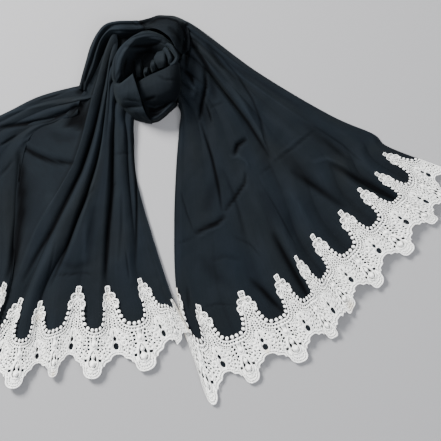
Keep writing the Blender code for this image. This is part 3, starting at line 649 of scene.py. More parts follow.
# A row for each section along the turn: (x, y, lift) across it
NECK_WRAP = (
    ((-124, 193, 3), (-120, 192, 13), (-116, 191, 10), (-113, 190, 13), (-110, 189, 9), (-104, 188, 2)),
    ((-121, 204, 0), (-117, 203, 14), (-113, 202, 11), (-111, 201, 15), (-109, 200, 11), (-103, 199, 2)),
    ((-118, 216, 0), (-114, 214, 17), (-110, 212, 12), (-107, 210, 18), (-105, 209, 14), (-98, 207, 2)),
    ((-112, 237, 0), (-107, 235, 20), (-103, 232, 13), (-99, 229, 20), (-97, 227, 14), (-89, 224, 2)),
    ((-105, 261, 0), (-99, 258, 23), (-95, 256, 15), (-92, 253, 22), (-90, 251, 12), (-81, 247, 2)),
    ((-94, 283, 0), (-90, 278, 25), (-86, 274, 17), (-85, 271, 24), (-82, 269, 14), (-74, 264, 3)),
    ((-81, 297, 0), (-77, 292, 26), (-74, 287, 20), (-72, 284, 28), (-72, 282, 27), (-66, 275, 8)),
    ((-62, 302, 0), (-61, 297, 27), (-59, 292, 23), (-58, 287, 30), (-57, 282, 28), (-56, 274, 10)),
    ((-42, 302, 0), (-41, 298, 27), (-40, 293, 23), (-40, 288, 28), (-40, 282, 22), (-40, 276, 10)),
    ((-30, 303, 0), (-26, 298, 26), (-22, 293, 22), (-18, 289, 27), (-15, 286, 22), (-13, 279, 12)),
)
SHOULDER_TURN = (
    ((-37, 301.5, 0), (-34, 297, 22), (-30, 292, 18), (-26, 288, 21), (-24, 284.5, 15)),
    ((-29, 302.5, 0), (-25, 297.5, 25.5), (-21, 292.5, 22), (-17, 288.5, 28), (-14, 285.5, 26)),
    ((-10, 306, 0), (-9, 302, 27), (-6, 296, 26), (-4, 290, 36), (-2, 285, 40)),
    ((2, 311, 0), (3, 304, 30), (6, 296, 32), (9, 288, 42), (10, 280, 48)),
    ((16, 311, 0), (18, 303, 31), (21, 294, 36), (23, 283, 46), (23, 270, 51)),
    ((29, 310, 0), (30, 301, 31), (32, 290, 37), (33, 275, 44), (30, 259, 49)),
    ((40, 306, 0), (40, 296, 29), (40, 283, 32), (40, 267, 36), (36, 250, 42)),
    ((46, 303, 0), (46, 293, 24), (46, 280, 20), (45, 264, 18), (43, 247, 24)),
    ((49.2, 301.5, 0), (50.2, 297, 18), (53.1, 284.5, 22), (54.6, 270, 23), (54.2, 253, 23)),
)
LOWER_TURN = (
    ((-63, 203, 17), (-57, 203, 18), (-50, 204, 18), (-42, 210, 18), (-35, 216, 18)),
    ((-65, 197, 33), (-60, 195, 44), (-54, 195, 51), (-43, 202, 55), (-33, 210, 55)),
    ((-64, 182, 26), (-58, 182, 42), (-49, 183, 51), (-38, 186, 55), (-27, 192, 57)),
    ((-60, 170, 15), (-53, 170, 36), (-43, 171, 45), (-32, 173, 49), (-22, 175, 52)),
    ((-54, 161, 9), (-46, 162, 26), (-38, 163, 35), (-29, 163, 39), (-19, 163, 42)),
    ((-45, 152, 3), (-39, 154, 21), (-32, 155, 33), (-24, 155, 37), (-16, 155, 40)),
    ((-32, 144, 0), (-27, 146, 16), (-22, 148, 24), (-18, 147, 28), (-12, 147, 31)),
    ((-18, 140, 0), (-16, 141, 10), (-14, 141, 14), (-10, 141, 16), (-6, 140, 17)),
    ((-17, 139, 0), (-15, 139, 0), (-12, 138.5, 0), (-9, 138, 0), (-6, 138, 0)),
)
FRONT_TURN = (
    ((-24, 200, 17), (-19, 203, 18), (-7, 209, 18), (6, 214, 18), (18, 219, 17),
     (27, 226, 16), (30, 227, 10), (32, 228, 4)),
    ((-26, 194, 17.5), (-21, 197, 30), (-8, 203, 32), (6, 208, 34), (19, 214, 36),
     (29, 224, 34), (33, 226, 20), (36, 227, 5)),
    ((-29, 198, 17.5), (-25, 201, 42), (-11, 209, 46), (3, 215, 48), (19, 222, 48),
     (34, 232, 42), (37, 232, 24), (41, 234, 4)),
    ((-28, 188, 16), (-24, 190, 44), (-8, 195, 50), (8, 200, 53), (24, 206, 51),
     (38, 214, 37), (40, 214, 16), (44, 214, 2)),
    ((-26, 177, 14), (-22, 179, 40), (-6, 181, 46), (10, 184, 49), (26, 190, 47),
     (39, 198, 34), (41, 198, 12), (44, 198, 1)),
    ((-23, 169, 12), (-18, 171, 34), (-5, 172, 38), (10, 174, 40), (24, 180, 38),
     (37, 184, 30), (39, 184, 8), (42, 184, 0)),
    ((-20, 158, 8), (-14, 160, 27), (-3, 161, 26), (8, 163, 26), (19, 168, 26),
     (31, 174, 25), (33, 174, 4), (36, 173, 0)),
    ((-18, 148, 1), (-13, 149, 21), (-1, 150, 25), (8, 156, 27), (18, 165, 27),
     (28, 172, 25), (31, 172, 3), (33.5, 171, 0)),
    ((-15, 141, 0), (-11, 142, 15), (2, 146, 30), (11, 152, 33), (21, 161, 33),
     (30, 170, 28), (32, 170, 2), (34.5, 169, 0)),
    ((-12, 138, 0), (-9, 139, 0), (4, 142, 0), (14, 149, 0), (24, 158, 0),
     (33, 166, 0), (33.5, 167, 0), (34, 167, 0)),
)
# Bearing about the middle of the knot, then (radius, lift) from deep in the hollow outwards
KNOT_CENTRE = (-11, 211)
RING_SECTIONS = (
    (30, (40, 12), (47, 21), (52, 25), (56, 21), (60, 9)),
    (44, (39, 14), (49, 26), (54, 31), (59, 29), (63, 20)),
    (58, (38, 16), (50, 30), (56, 36), (61, 35), (65, 28)),
    (74, (38, 16.7), (53, 32), (60, 40), (65, 39), (69, 29)),
    (92, (38, 17.3), (54, 34), (61, 45), (66, 43), (72, 30)),
    (107, (35, 17.8), (53, 35), (60, 47), (65, 45), (68, 31)),
    (122, (35, 18.1), (48, 36), (54, 49), (61, 47), (65, 31)),
    (137, (35, 18.2), (44, 36), (49, 50), (59, 47), (63, 30)),
    (152, (33, 18.1), (42, 33), (46.5, 50), (57, 47), (61, 29)),
    (167, (29, 17.9), (39, 32), (43.5, 49), (54, 46), (59, 29)),
    (182, (30, 17.5), (38, 30), (42, 44), (52, 42), (57, 26)),
    (196, (32, 17), (41, 26), (46, 35), (51, 32), (54, 20)),
)
RING_TURN = [
    [(KNOT_CENTRE[0] + r * cos(radians(b)), KNOT_CENTRE[1] + r * sin(radians(b)), z) for r, z in row]
    for b, *row in RING_SECTIONS
]

HOLLOW_PLEATS = (
    (
        ((-33, 237, 18.4), (-30, 238, 23), (-25, 239, 23), (-22, 237, 18.6)),
        ((-32, 222, 18.5), (-30, 223, 27), (-24, 223, 29), (-21.5, 222, 18.8)),
        ((-30, 208, 18.3), (-28, 209, 22), (-23, 210, 23), (-21, 210, 18.5)),
    ),
    (
        ((-18, 224, 18.7), (-16.5, 225, 24), (-13, 225.5, 24), (-11, 225, 18.5)),
        ((-18.5, 216, 18.6), (-17, 217, 36), (-12.5, 218.5, 38), (-10.5, 218, 18.4)),
        ((-16, 209, 18.4), (-14.5, 210, 28), (-10.5, 211.5, 29), (-8.5, 211.5, 18.3)),
    ),
    (
        ((-7, 236, 18.3), (-4.5, 237, 25), (-2, 237, 26), (0, 236, 18)),
        ((-8, 227, 18.3), (-6, 228, 37), (-1, 230, 40), (1.2, 229, 18)),
        ((-5, 217, 18.3), (-3, 217.5, 30), (2, 219.5, 32), (4, 220, 17.8)),
    ),
    (
        ((2, 248, 26), (6, 249, 35), (13, 250, 36), (17, 248, 27)),
        ((-2, 240, 18), (0.5, 241, 37), (14.5, 244, 43), (17.5, 242, 16.5)),
        ((-1, 232, 18), (1.5, 233, 38), (15, 235, 44), (18, 233, 16)),
        ((3, 221, 17.8), (5.5, 222, 32), (14.5, 224, 36), (17, 225, 16)),
    ),
    (
        ((12, 252, 35), (13.5, 253.5, 39), (15.5, 255.5, 40), (17, 257, 36)),
        ((16.5, 245, 35), (18.5, 246.5, 43), (21.5, 248.5, 45), (23.5, 250, 36)),
        ((20, 238, 34), (21.8, 238, 44), (25.2, 239, 45.5), (27.2, 239, 35)),
        ((20.5, 229, 31), (22, 229, 37), (25, 228.5, 38), (26.5, 228.5, 32)),
    ),
    (
        ((15.5, 258.5, 38), (17, 260, 42), (18.5, 261, 43), (20, 262.5, 38)),
        ((22, 253.5, 38), (24, 255.2, 45), (26, 257, 46.5), (28, 258.5, 39)),
        ((27.5, 246.5, 38), (29.5, 247.6, 47), (31.7, 249, 48.5), (33.7, 250.2, 39)),
        ((31.5, 239.5, 36), (33.5, 239.5, 46), (35.6, 239.3, 47.5), (37.5, 239, 38)),
        ((28.5, 234, 36), (30.2, 232.5, 45), (32, 230.8, 46), (33.5, 229.5, 40)),
        ((23.5, 228.5, 38), (24.5, 227, 47), (25.5, 225.5, 48), (26.5, 224, 43)),
    ),
)

# Creases on the turns: depth, half width, painted shade or highlight, then points in plan
TURN_CREASES = (
    (-1.6, 2.6, -0.8, (-33, 304), (-25, 296), (-17, 286), (-12, 278)),
    (-2.2, 1.6, -0.6, (-40, 302), (-32, 294), (-24, 288)),
    (0, 8, 0.3, (-30, 304), (-22, 294), (-14, 283)),
    (0, 10, -0.3, (-44, 304), (-42, 293), (-38, 278)),
    (-2.2, 1.6, -0.6, (-29, 302), (-19, 296), (-13, 290)),
    (-2, 1.7, -0.5, (-10, 293), (3, 301), (19, 302), (35, 296), (48, 278)),
    (-2, 1.7, -0.5, (0, 306), (19, 307), (35, 302), (45, 294)),
    (-3, 4, -0.5, (21, 286), (34, 275), (42, 256)),
    (-3.5, 2.4, -0.8, (-46, 254), (-32, 258), (-16, 259), (2, 262), (14, 267)),
    (1.5, 2.5, 0.25, (-51, 245), (-40, 251), (-24, 253), (-6, 255)),
    (-1.8, 1.6, -0.4, (-48, 266), (-34, 270), (-16, 275), (2, 278)),
    (-1.4, 1.6, -0.35, (-37, 278), (-21, 282), (-3, 284)),
    (-3, 2.4, -0.8, (-44, 242), (-50, 224), (-54, 205), (-56, 194)),
    (-2, 1.6, -0.5, (-59, 250), (-62, 234), (-63, 214), (-62, 195)),
    (-2, 4, -0.4, (-34, 246), (-18, 250), (-2, 256)),
    (-2.5, 2.2, -0.7, (-56, 163), (-37, 163), (-18, 162)),
    (-2, 2, -0.5, (-50, 173), (-30, 171), (-22, 168)),
    (-2.4, 2.2, -0.7, (-19, 173), (-8, 175), (3, 178)),
    (-2, 2, -0.35, (5, 210), (18, 203), (34, 203)),
    (-3.5, 7, -0.6, (-11, 160), (3, 155), (22, 165)),
    (2, 1.4, 0.6, (-14, 165), (0, 162), (16, 168)),
    (2, 1.4, 0.6, (-8, 154), (3, 153), (19, 162)),
    (0.8, 2.4, 0.7, (-10, 142), (6, 146), (18, 159), (29, 169)),
    (0, 7, -0.3, (30, 218), (35, 198), (29, 179)),
)


def loft(sections, finer_along, finer_across):
    """Points of a turn, smooth both ways through its sections."""
    grid = np.array(sections, float)
    for axis, finer in ((0, finer_along), (1, finer_across)):
        knots = np.moveaxis(grid, axis, 0)
        at = np.linspace(0, len(knots) - 1, (len(knots) - 1) * finer + 1)
        plan = along(knots[..., :2], at)
        lift = along(knots[..., 2:], at, steady=True)
        grid = np.moveaxis(np.concatenate([plan, lift], axis=-1), 0, axis)
    return grid


RIB_WIDTH = 3.6         # of the noise that makes the fine pleats, across and along a turn
RIB_LENGTH = 45
RIB_EDGE = 3            # columns over which the pleats fade out at each edge


def turn_piece(name, sections, finer, ribs, dark_below, lit_above):
    """A turn of the knot with fine pleats running along it, with more painted shade the deeper it lies."""
    grid = loft(sections, *finer)
    deep, wide = grid.shape[:2]
    run = np.linalg.norm(np.diff(grid, axis=0, prepend=grid[:1]), axis=2).cumsum(axis=0)
    width = np.linalg.norm(np.diff(grid, axis=1, prepend=grid[:, :1]), axis=2).cumsum(axis=1)
    cut = np.stack([width, run], axis=-1).reshape(-1, 2)
    points = grid.reshape(-1, 3)
    pleats = np.array([noise.noise((w / RIB_WIDTH, r / RIB_LENGTH, len(name))) for w, r in cut])
    edge = np.minimum(np.arange(wide), np.arange(wide)[::-1]) / RIB_EDGE
    points[:, 2] += ribs * pleats * np.clip(np.tile(edge, deep), 0, 1)
    # Painted shade: the lower a point lies, the darker it is painted; creases add painted shade or
    # highlight
    lit = np.clip((points[:, 2] - dark_below) / (lit_above - dark_below), 0, 1)
    for depth, half_width, tone, *line in TURN_CREASES:
        press = crease_share(points[:, :2], np.array(line, float), half_width)
        points[:, 2] += depth * press
        lit = lit + tone * press
    points[:, 2] = np.maximum(points[:, 2], LEAST_LIFT)
    faces = grid_faces(deep, wide)
    return cloth_piece(name, points, faces, cut, np.clip(lit, 0, 1), CHIFFON_WALL, chiffon)


# piece, node it stands for, sections, how much finer along and across, height of its fine ribs,
# painted wholly in shade below and wholly lit above these lifts,
# then the size it was cut to and how much of that area shows
TURNS = [
    ("band_round_left", "neck_wrap", NECK_WRAP, (9, 7), 1.9, 2, 26, (0.063, 0.172), 0.0100),
    ("band_over_top", "shoulder_turn", SHOULDER_TURN, (10, 8), 1.4, 10, 70, (0.080, 0.126), 0.0068),
    ("roll_round_hollow", "ring_turn", RING_TURN, (12, 10), 1.9, 12, 46, (0.062, 0.190), 0.0098),
    ("lower_flap", "lower_turn", LOWER_TURN, (9, 8), 0.7, -22, 46, (0.056, 0.110), 0.0052),
    ("front_flap", "front_turn", FRONT_TURN, (9, 9), 0.6, 12, 66, (0.100, 0.150), 0.0130),
]
# The size each standing pleat was cut to, and its area
PLEAT_CUTS = (
    ((0.033, 0.027), 0.00070),
    ((0.040, 0.018), 0.00060),
    ((0.045, 0.020), 0.00083),
    ((0.054, 0.034), 0.00160),
    ((0.026, 0.029), 0.00066),
    ((0.026, 0.042), 0.00094),
)
TURNS += [
    (f"standing_pleat_{number}", f"hollow_pleat_{number}", sections, (9, 6), 0.5, 14, 42, *size)
    for number, (sections, size) in enumerate(zip(HOLLOW_PLEATS, PLEAT_CUTS), 1)
]
for name, node, sections, finer, ribs, dark_below, lit_above, flat, area in TURNS:
    turn = turn_piece(name, sections, finer, ribs, dark_below, lit_above)
    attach(turn, "root")
    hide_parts(node)

# ---------------------------------------------------------------------------------------------------
# The hidden layers under the knot.
# The twisted middle of the panel: layers of the same chiffon that swirl round the knot, seen only down
# in the hollow and in the gaps between the turns.

CORE_MIDDLE = (-22, 224)
CORE_HALF_SIZE = (72.3, 74)
CORE_HEIGHT = 18.4
CORE_RINGS = 36
CORE_SIDES = 144
SWIRL_FOLDS = 11
SWIRL_TURN = 2.6
SWIRL_RISE = 1.1
SWIRL_SINK = 0.6
# Painted shade: the hidden layers are painted as dark as cloth down in the shade of the hollow
CORE_LIT = 0.2

core_points, core_cut = [], []
for ring in range(CORE_RINGS + 1):
    share = ring / CORE_RINGS
    slope, height = sin(pi / 2 * share), cos(pi / 2 * share)
    for side in range(CORE_SIDES):
        bearing = 2 * pi * side / CORE_SIDES
        swirl = sin(SWIRL_FOLDS * bearing + SWIRL_TURN * 2 * pi * share) * slope * height
        lift = CORE_HEIGHT * height + SWIRL_RISE * swirl - SWIRL_RISE * slope * SWIRL_SINK
        x = CORE_MIDDLE[0] + CORE_HALF_SIZE[0] * slope * cos(bearing)
        y = CORE_MIDDLE[1] + CORE_HALF_SIZE[1] * slope * sin(bearing)
        core_points.append((x, y, max(lift, LEAST_LIFT)))
        core_cut.append((CORE_HALF_SIZE[0] * share * bearing, CORE_HALF_SIZE[1] * share))
core_faces = [
    (r + s, r + (s + 1) % CORE_SIDES, r + CORE_SIDES + (s + 1) % CORE_SIDES, r + CORE_SIDES + s)
    for r in range(CORE_SIDES, CORE_RINGS * CORE_SIDES, CORE_SIDES)
    for s in range(CORE_SIDES)
]
core_faces += [(0, CORE_SIDES + s, CORE_SIDES + (s + 1) % CORE_SIDES) for s in range(CORE_SIDES)]
core_lit = np.full(len(core_points), CORE_LIT)
core = cloth_piece(
    "hidden_layers", np.array(core_points), core_faces, np.array(core_cut), core_lit, CHIFFON_WALL, chiffon
)
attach(core, "root")
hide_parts("knot_core")

# ---------------------------------------------------------------------------------------------------
# The crochet lace at the ends of the panel.
# Off-white cotton, worked in repeats of a peak and a lobe and sewn flat over the end of the chiffon:
# a close net with rows of small eyelets, thicker cords round every form and bobbles along the edge.

HALF = PITCH / 2
NET_WALL = 0.8
NET_LIFT = 0.75         # above the chiffon it is sewn to
MARGIN = 1.5            # of net left beside the eyelets at the ends of a trim

# All of one half of a repeat, across from the peak's middle and down from the peak's tip.
# The net's edge towards the chiffon, then its outer edge from the valley to the lobe's end
NET_TOP = (
    (0, 0), (4.5, -0.3), (5.8, 2), (5.2, 10), (4.8, 12.5), (8, 12), (11.5, 14.5), (13, 19), (11.8, 23.5),
    (15.5, 25.5), (17, 29.5), (16.2, 34), (12.5, 37.5), (9.6, 39.5), (10.6, 45), (12.2, 52),
    (14.4, 59), (17.6, 65.4), (22.6, 69.8), (29.6, 72.2), (HALF, 73.2),
)
NET_BOTTOM = (
    (0, 112), (3, 111.6), (7, 112.8), (10.6, 115.5), (12.4, 119.6), (16.2, 119.2), (20, 121), (22.6, 125),
    (22.8, 128.8), (25.2, 130.2), (25.4, 134.4), (25.9, 138), (28, 142), (31, 145), (34.6, 146.7),
    (HALF, 147),
)

# Cords: radius, rise of their middle over the net, then their line
CORDS = (
    (1.1, 0.9, (0, 0.6), (4.2, 0.6), (4.8, 3), (4.3, 8), (3.6, 13), (1.5, 16)),
    (0.7, 0.6, (0, 2), (0, 13)),
    (1.15, 1.0, (1.2, 15.5), (4, 13.6), (8, 13.2), (11, 15.4), (12, 19), (10.6, 22.6), (7.4, 24.4)),
    (1.15, 1.0, (9.6, 24.6), (13.6, 25.8), (15.7, 29), (15.2, 33.4), (12, 36.6), (8.6, 36.6)),
    (0.8, 0.7, (0, 26.5), (2.4, 25.4), (2.4, 22.4), (0, 21.4)),
    (0.8, 0.7, (2.4, 24), (5.8, 25.4), (8, 30), (8.2, 36)),
    (0.7, 0.6, (0, 27), (3, 30.6), (4.6, 35)),
    (1.1, 0.9, (8.0, 38), (8.6, 42), (9.6, 46), (11.2, 52), (13.4, 59.6), (16.6, 66.2), (22, 71),
     (29.4, 73.8), (HALF, 74.8)),
    (0.65, 0.5, (5.2, 47), (6.4, 52), (8.6, 60.6), (11.8, 68.4), (17.6, 75), (26.6, 78.8), (HALF, 80)),
    (0.8, 0.7, (2.2, 48), (3.4, 52), (6.2, 58), (7.2, 66), (8.4, 73), (14, 79.8), (22, 84)),
    (0.9, 0.8, (1.2, 72.6), (2.6, 77.4), (2.4, 81), (4.6, 86), (4, 90.6), (6.4, 95.4), (6.2, 101.6),
     (2.4, 106.4), (1.0, 111)),
    (0.7, 0.6, (5.6, 79), (7.8, 86), (8.8, 94), (8.6, 102), (6.6, 108)),
    (0.7, 0.6, (19, 85.6), (20.6, 91), (19.6, 97.6), (18.2, 103.6), (16.2, 110), (14.2, 113.6)),
    (0.7, 0.6, (25.6, 84.6), (27, 90), (26.6, 98), (23.6, 105.6), (21.8, 112), (22, 116.6)),
    (1.15, 1.0, (0, 110.6), (5, 111.2), (9.4, 114.2), (11.4, 118.4)),
    (1.15, 1.0, (11.6, 118.4), (16.4, 120.2), (20, 122.6), (21.8, 127.4)),
    (0.9, 0.8, (0, 107.4), (5.8, 107.8), (11.6, 110.8), (14, 115.2)),
    (0.9, 0.8, (14.2, 115.2), (18.8, 116.6), (22.8, 119.4), (25.2, 124.4)),
    (1.25, 1.1, (24.4, 127.4), (25.8, 131), (26.4, 136), (28.6, 140.8), (32.6, 144.4), (HALF, 145.6)),
    (0.95, 0.8, (28.6, 126.6), (29, 132.4), (30.2, 137.2), (33.6, 140.8), (HALF, 142)),
    (0.8, 0.7, (HALF, 137), (34.4, 136), (31.8, 132.8)),
    (1.2, 1.1, (HALF, 99.8), (36.2, 102), (33.8, 106), (31.8, 112), (30.8, 119), (31.4, 125),
     (34.2, 129.4), (HALF, 131)),
    (1.0, 0.9, (32.8, 86), (33, 91.4), (34.8, 96.2), (HALF, 98.4)),
    (0.8, 0.7, (HALF, 88.6), (36.6, 89.2), (35.2, 91), (35.2, 93.2), (36.6, 95), (HALF, 95.6)),
)
CORD_STEP = 2.3
# Small medallions worked in the net: their radius, their cord's radius and rise, then their middles
MEDALLION_RADIUS = 3.7
MEDALLION_CORD = (0.75, 0.65)
MEDALLIONS = ((13.6, 86), (13.4, 96.4), (26.8, 111.2))

# Bobbles: radius and place; those along the arm follow its edge evenly instead, on short stalks
ARM_EDGE = ((13, 37.8), (14.2, 45.2), (16.4, 53.6), (19.4, 61.2), (24.4, 66.2), (30.8, 68.4), (HALF, 69.2))
ARM_BOBBLES = 6
BOBBLE_SIZE = 3.0
STALK = 4.6
STALK_CORD = (1.6, 0.7)
BOBBLES = ((2.7, HALF, 80), (3.1, HALF, 92), (2.6, HALF, 110.6), (4.0, HALF, 123), (1.3, HALF, 134))

# Eyelets that are cut right through: half sizes across and down, slant, then their places
EYELETS = (
    (1.25, 1.9, 0, ((2.2, 4.6), (2.2, 9))),
    (1.2, 1.3, 0.3, ((4.7, 17.4), (7, 16.2), (9.4, 17.4), (4.9, 20.3), (7.3, 19.3), (9.7, 20.3),
                     (6.9, 22.2), (9.8, 28), (12.2, 28), (13.9, 30.6), (10.1, 31), (12, 33.6),
                     (9.8, 34.2), (5.4, 28.8), (6.2, 32.2))),
    (1.6, 2.3, 0.35, ((3.7, 35.6), (3.8, 41.8), (7.2, 39))),
    (1.5, 1.8, 0.4, ((6.9, 44.6), (3.6, 30.2))),
    (1.7, 1.75, 0, ((4.2, 56.2), (4.2, 60.4), (4.2, 64.6), (4.2, 68.8))),
    (2.1, 2.2, 0.3, ((27.7, 82.6), (29.6, 88), (29.4, 94), (20.8, 95), (26.2, 103), (30.4, 100))),
    (2.5, 2.7, 0.6, ((27.4, 117.6),)),
    (1.5, 1.6, 0.2, ((22.7, 101), (23.8, 88), (24.2, 94.4), (18.2, 91.4), (20, 106.6), (17.4, 100.2),
                      (28.8, 106.4), (22.8, 108.4), (18.4, 112.6), (8.6, 90.6), (9.4, 80.6), (15, 79.4),
                      (20.4, 83), (10.4, 101.6), (11.4, 106.6), (33.6, 82.4), (24.6, 122),
                      (31, 105))),
    (1.0, 1.1, 0, ((13.6, 86), (13.4, 96.4), (26.8, 111.2), (6, 84), (6.6, 89.2), (7.6, 98.4),
                   (15.6, 104.6), (14.6, 109.4), (20.6, 116), (27.4, 97.8), (25, 98.4), (16.8, 84.4),
                   (21.6, 91.6), (32.8, 99.4), (23.4, 83.8))),
    (0.85, 0.6, 0, ((3.2, 109.3), (7.6, 110.2), (11.2, 113), (16.6, 117.8), (20.6, 119.6),
                    (27, 129.6), (27.4, 134.4), (29, 138.8), (32, 142.2), (36, 143.8))),
    (0.8, 0.7, 0, ((31, 134.4), (33.4, 138.6), (36.4, 139.6), (30.4, 130.4))),
)
# Rows of eyelets along the arm: how far inside its edge, half sizes across and along, spacing
ARM_ROWS = ((4.0, 1.9, 1.5, 4.0), (8.2, 1.9, 1.45, 4.0), (12.2, 1.6, 1.3, 4.3))
ARM_LINE = NET_TOP[14:]
# Slits across the middle of a peak, half of each: three leaves, then plain slits of top, bottom, width
LEAVES = (
    ((0, 75.4), (1.2, 78.2), (0.4, 81.6)),
    ((0, 83), (2.8, 86.4), (2.5, 89.8), (0, 92.2)),
    ((0, 93.4), (4.2, 96), (4.5, 100.6), (2.6, 103.8), (0, 104.4)),
)
PLAIN_SLITS = (
    (22.6, 25.4, 0.9), (30.8, 35, 1.6), (36.2, 41, 1.7), (42.2, 46.6, 1.6), (52.4, 55.8, 1.5),
    (56.6, 60, 1.5), (60.8, 64.2, 1.5), (65, 68.4, 1.5), (69.2, 72.4, 1.4),
)
SLITS = LEAVES + tuple(
    ((0, top), (wide, (top + bottom) / 2), (0, bottom)) for top, bottom, wide in PLAIN_SLITS
)
# Openings beside the middle of a lobe, across from it and down from the peak's tip
LOBE_GAPS = (
    ((3.0, 83.6), (5.4, 84.6), (5.0, 89.4), (3.4, 88.2)),
    ((0.8, 101.4), (2.2, 102.6), (3.6, 106.4), (1.4, 106.6)),
    ((3.2, 107.4), (4.8, 110.4), (6.0, 116), (5.6, 119.4), (2.8, 117.4), (1.4, 114.8), (3.2, 112)),
    ((5.2, 120.6), (6.2, 121.4), (5.8, 125.6), (3.2, 128.6), (2.2, 127.6), (4.6, 125.2)),
)


def run_of(line):
    """How far along a line each of its points is."""
    return np.concatenate([[0], np.linalg.norm(np.diff(line, axis=0), axis=1).cumsum()])


FINER = 8               # points to a knot that a curve is first drawn with


def smooth_line(points, spacing):
    """Points about `spacing` apart on the smooth curve through a list of points."""
    knots = np.array(points, float)
    count = max(ceil(np.linalg.norm(np.diff(knots, axis=0), axis=1).sum() / spacing), len(knots) - 1)
    fine = along(knots, np.linspace(0, len(knots) - 1, FINER * len(knots)))
    run = run_of(fine)
    at = np.linspace(0, run[-1], count + 1)
    return np.column_stack([np.interp(at, run, fine[:, 0]), np.interp(at, run, fine[:, 1])])


def side_of(line):
    """Unit normals of a flat line, to the left of the way it runs."""
    run = np.gradient(line, axis=0)
    run /= np.linalg.norm(run, axis=1)[:, None]
    return np.column_stack([run[:, 1], -run[:, 0]])


# Two corners of a hexagonal eyelet, in half sizes; its upper corner slants, and the rest lie opposite
EYELET_CORNERS = ((1, -0.45), (0.95, 0.5))


def eyelet(x, y, half_across, half_down, slant, across=(1, 0)):
    """A small hexagon, with its upper corner slanted to one side and its width along `across`."""
    corners = [(half_across * a, half_down * d) for a, d in EYELET_CORNERS]
    corners = np.array([(slant, -half_down)] + corners)
    turn = np.array([across, (-across[1], across[0])])
    return np.concatenate([corners, -corners]) @ turn + (x, y)


CLEAR_OF_MIDDLE = 1.8   # of the arm's eyelets, from the middle of the peak and of the lobe
OVERLAP = 0.1           # that eyelets' outer circles may have
REACH_SHARE = 0.8       # of its outer circle that an eyelet keeps free


def half_eyelets():
    """Outlines of the eyelets of half a repeat that don't touch its middle or its edge."""
    found = [np.array([(HALF - x, y) for x, y in gap]) for gap in LOBE_GAPS]
    for half_across, half_down, slant, places in EYELETS:
        found += [eyelet(x, y, half_across, half_down, slant) for x, y in places]
    edge = smooth_line(ARM_LINE, 1.0)
    for inside, across, down, spacing in ARM_ROWS:
        row = smooth_line(edge - side_of(edge) * inside, spacing)
        for (x, y), normal in zip(row, side_of(row)):
            if HALF - CLEAR_OF_MIDDLE > x > CLEAR_OF_MIDDLE:
                found.append(eyelet(x, y, across, down, 0, tuple(normal)))
    return found


def apart(loops, clearance):
    """The loops that keep clear of those before them."""
    kept, middles, reaches = [], [], []
    for loop in loops:
        middle = loop.mean(axis=0)
        reach = np.linalg.norm(loop - middle, axis=1).max()
        if middles:
            gap = np.linalg.norm(np.array(middles) - middle, axis=1) - np.array(reaches) - reach
            if gap.min() < clearance:
                continue
        kept.append(loop)
        middles.append(middle)
        reaches.append(reach * REACH_SHARE)
    return kept


one_half = apart(half_eyelets(), -OVERLAP)
REPEAT_EYELETS = one_half + [hole * (-1, 1) for hole in one_half]
REPEAT_EYELETS += [
    np.array([(x, y) for x, y in half] + [(-x, y) for x, y in reversed(half) if x > 0]) for half in SLITS
]


NUDGE = 1e-9            # so that a point right on the end is never taken for a crossing


def trim_line(half_line, first, last, spacing):
    """One long edge of a trim in the flat, from the first repeat to the last."""
    half = smooth_line(half_line, spacing)
    whole = np.concatenate([half[::-1] * (-1, 1), half[1:]])
    line = np.concatenate([whole + (peak * PITCH, 0) for peak in range(floor(first), ceil(last) + 1)])
    low, high = first * PITCH, last * PITCH
    inside = (line[:, 0] > low) & (line[:, 0] < high)
    ends = []
    for edge in (low, high):
        crossing = np.nonzero(np.diff(np.sign(line[:, 0] - edge + NUDGE)))[0]
        at = crossing[0] if edge == low else crossing[-1]
        a, b = line[at], line[at + 1]
        ends.append(a + (b - a) * (edge - a[0]) / (b[0] - a[0]))
    return np.concatenate([[ends[0]], line[inside], [ends[1]]])


def is_inside(points, loop):
    """Whether each flat point is inside a closed loop."""
    x, y = points[:, :1], points[:, 1:]
    ahead = np.roll(loop, -1, axis=0)
    ax, ay, bx, by = loop[:, 0], loop[:, 1], ahead[:, 0], ahead[:, 1]
    rise = np.where(by == ay, 1, by - ay)
    crosses = ((ay > y) != (by > y)) & (x < (bx - ax) * (y - ay) / rise + ax)
    return crosses.sum(axis=1) % 2 == 1


NET_STEP = 2.2          # along the net's edges
NET_SPACING = 5.2       # of the points between them
NET_FILLED = (6, 144)
NET_END = 2             # kept free of such points at the last end
CELL = 10               # width of the strips that eyelets are looked up in
NEAR_CELLS = 1.6
JOINED = 1e-4           # points nearer than this are one


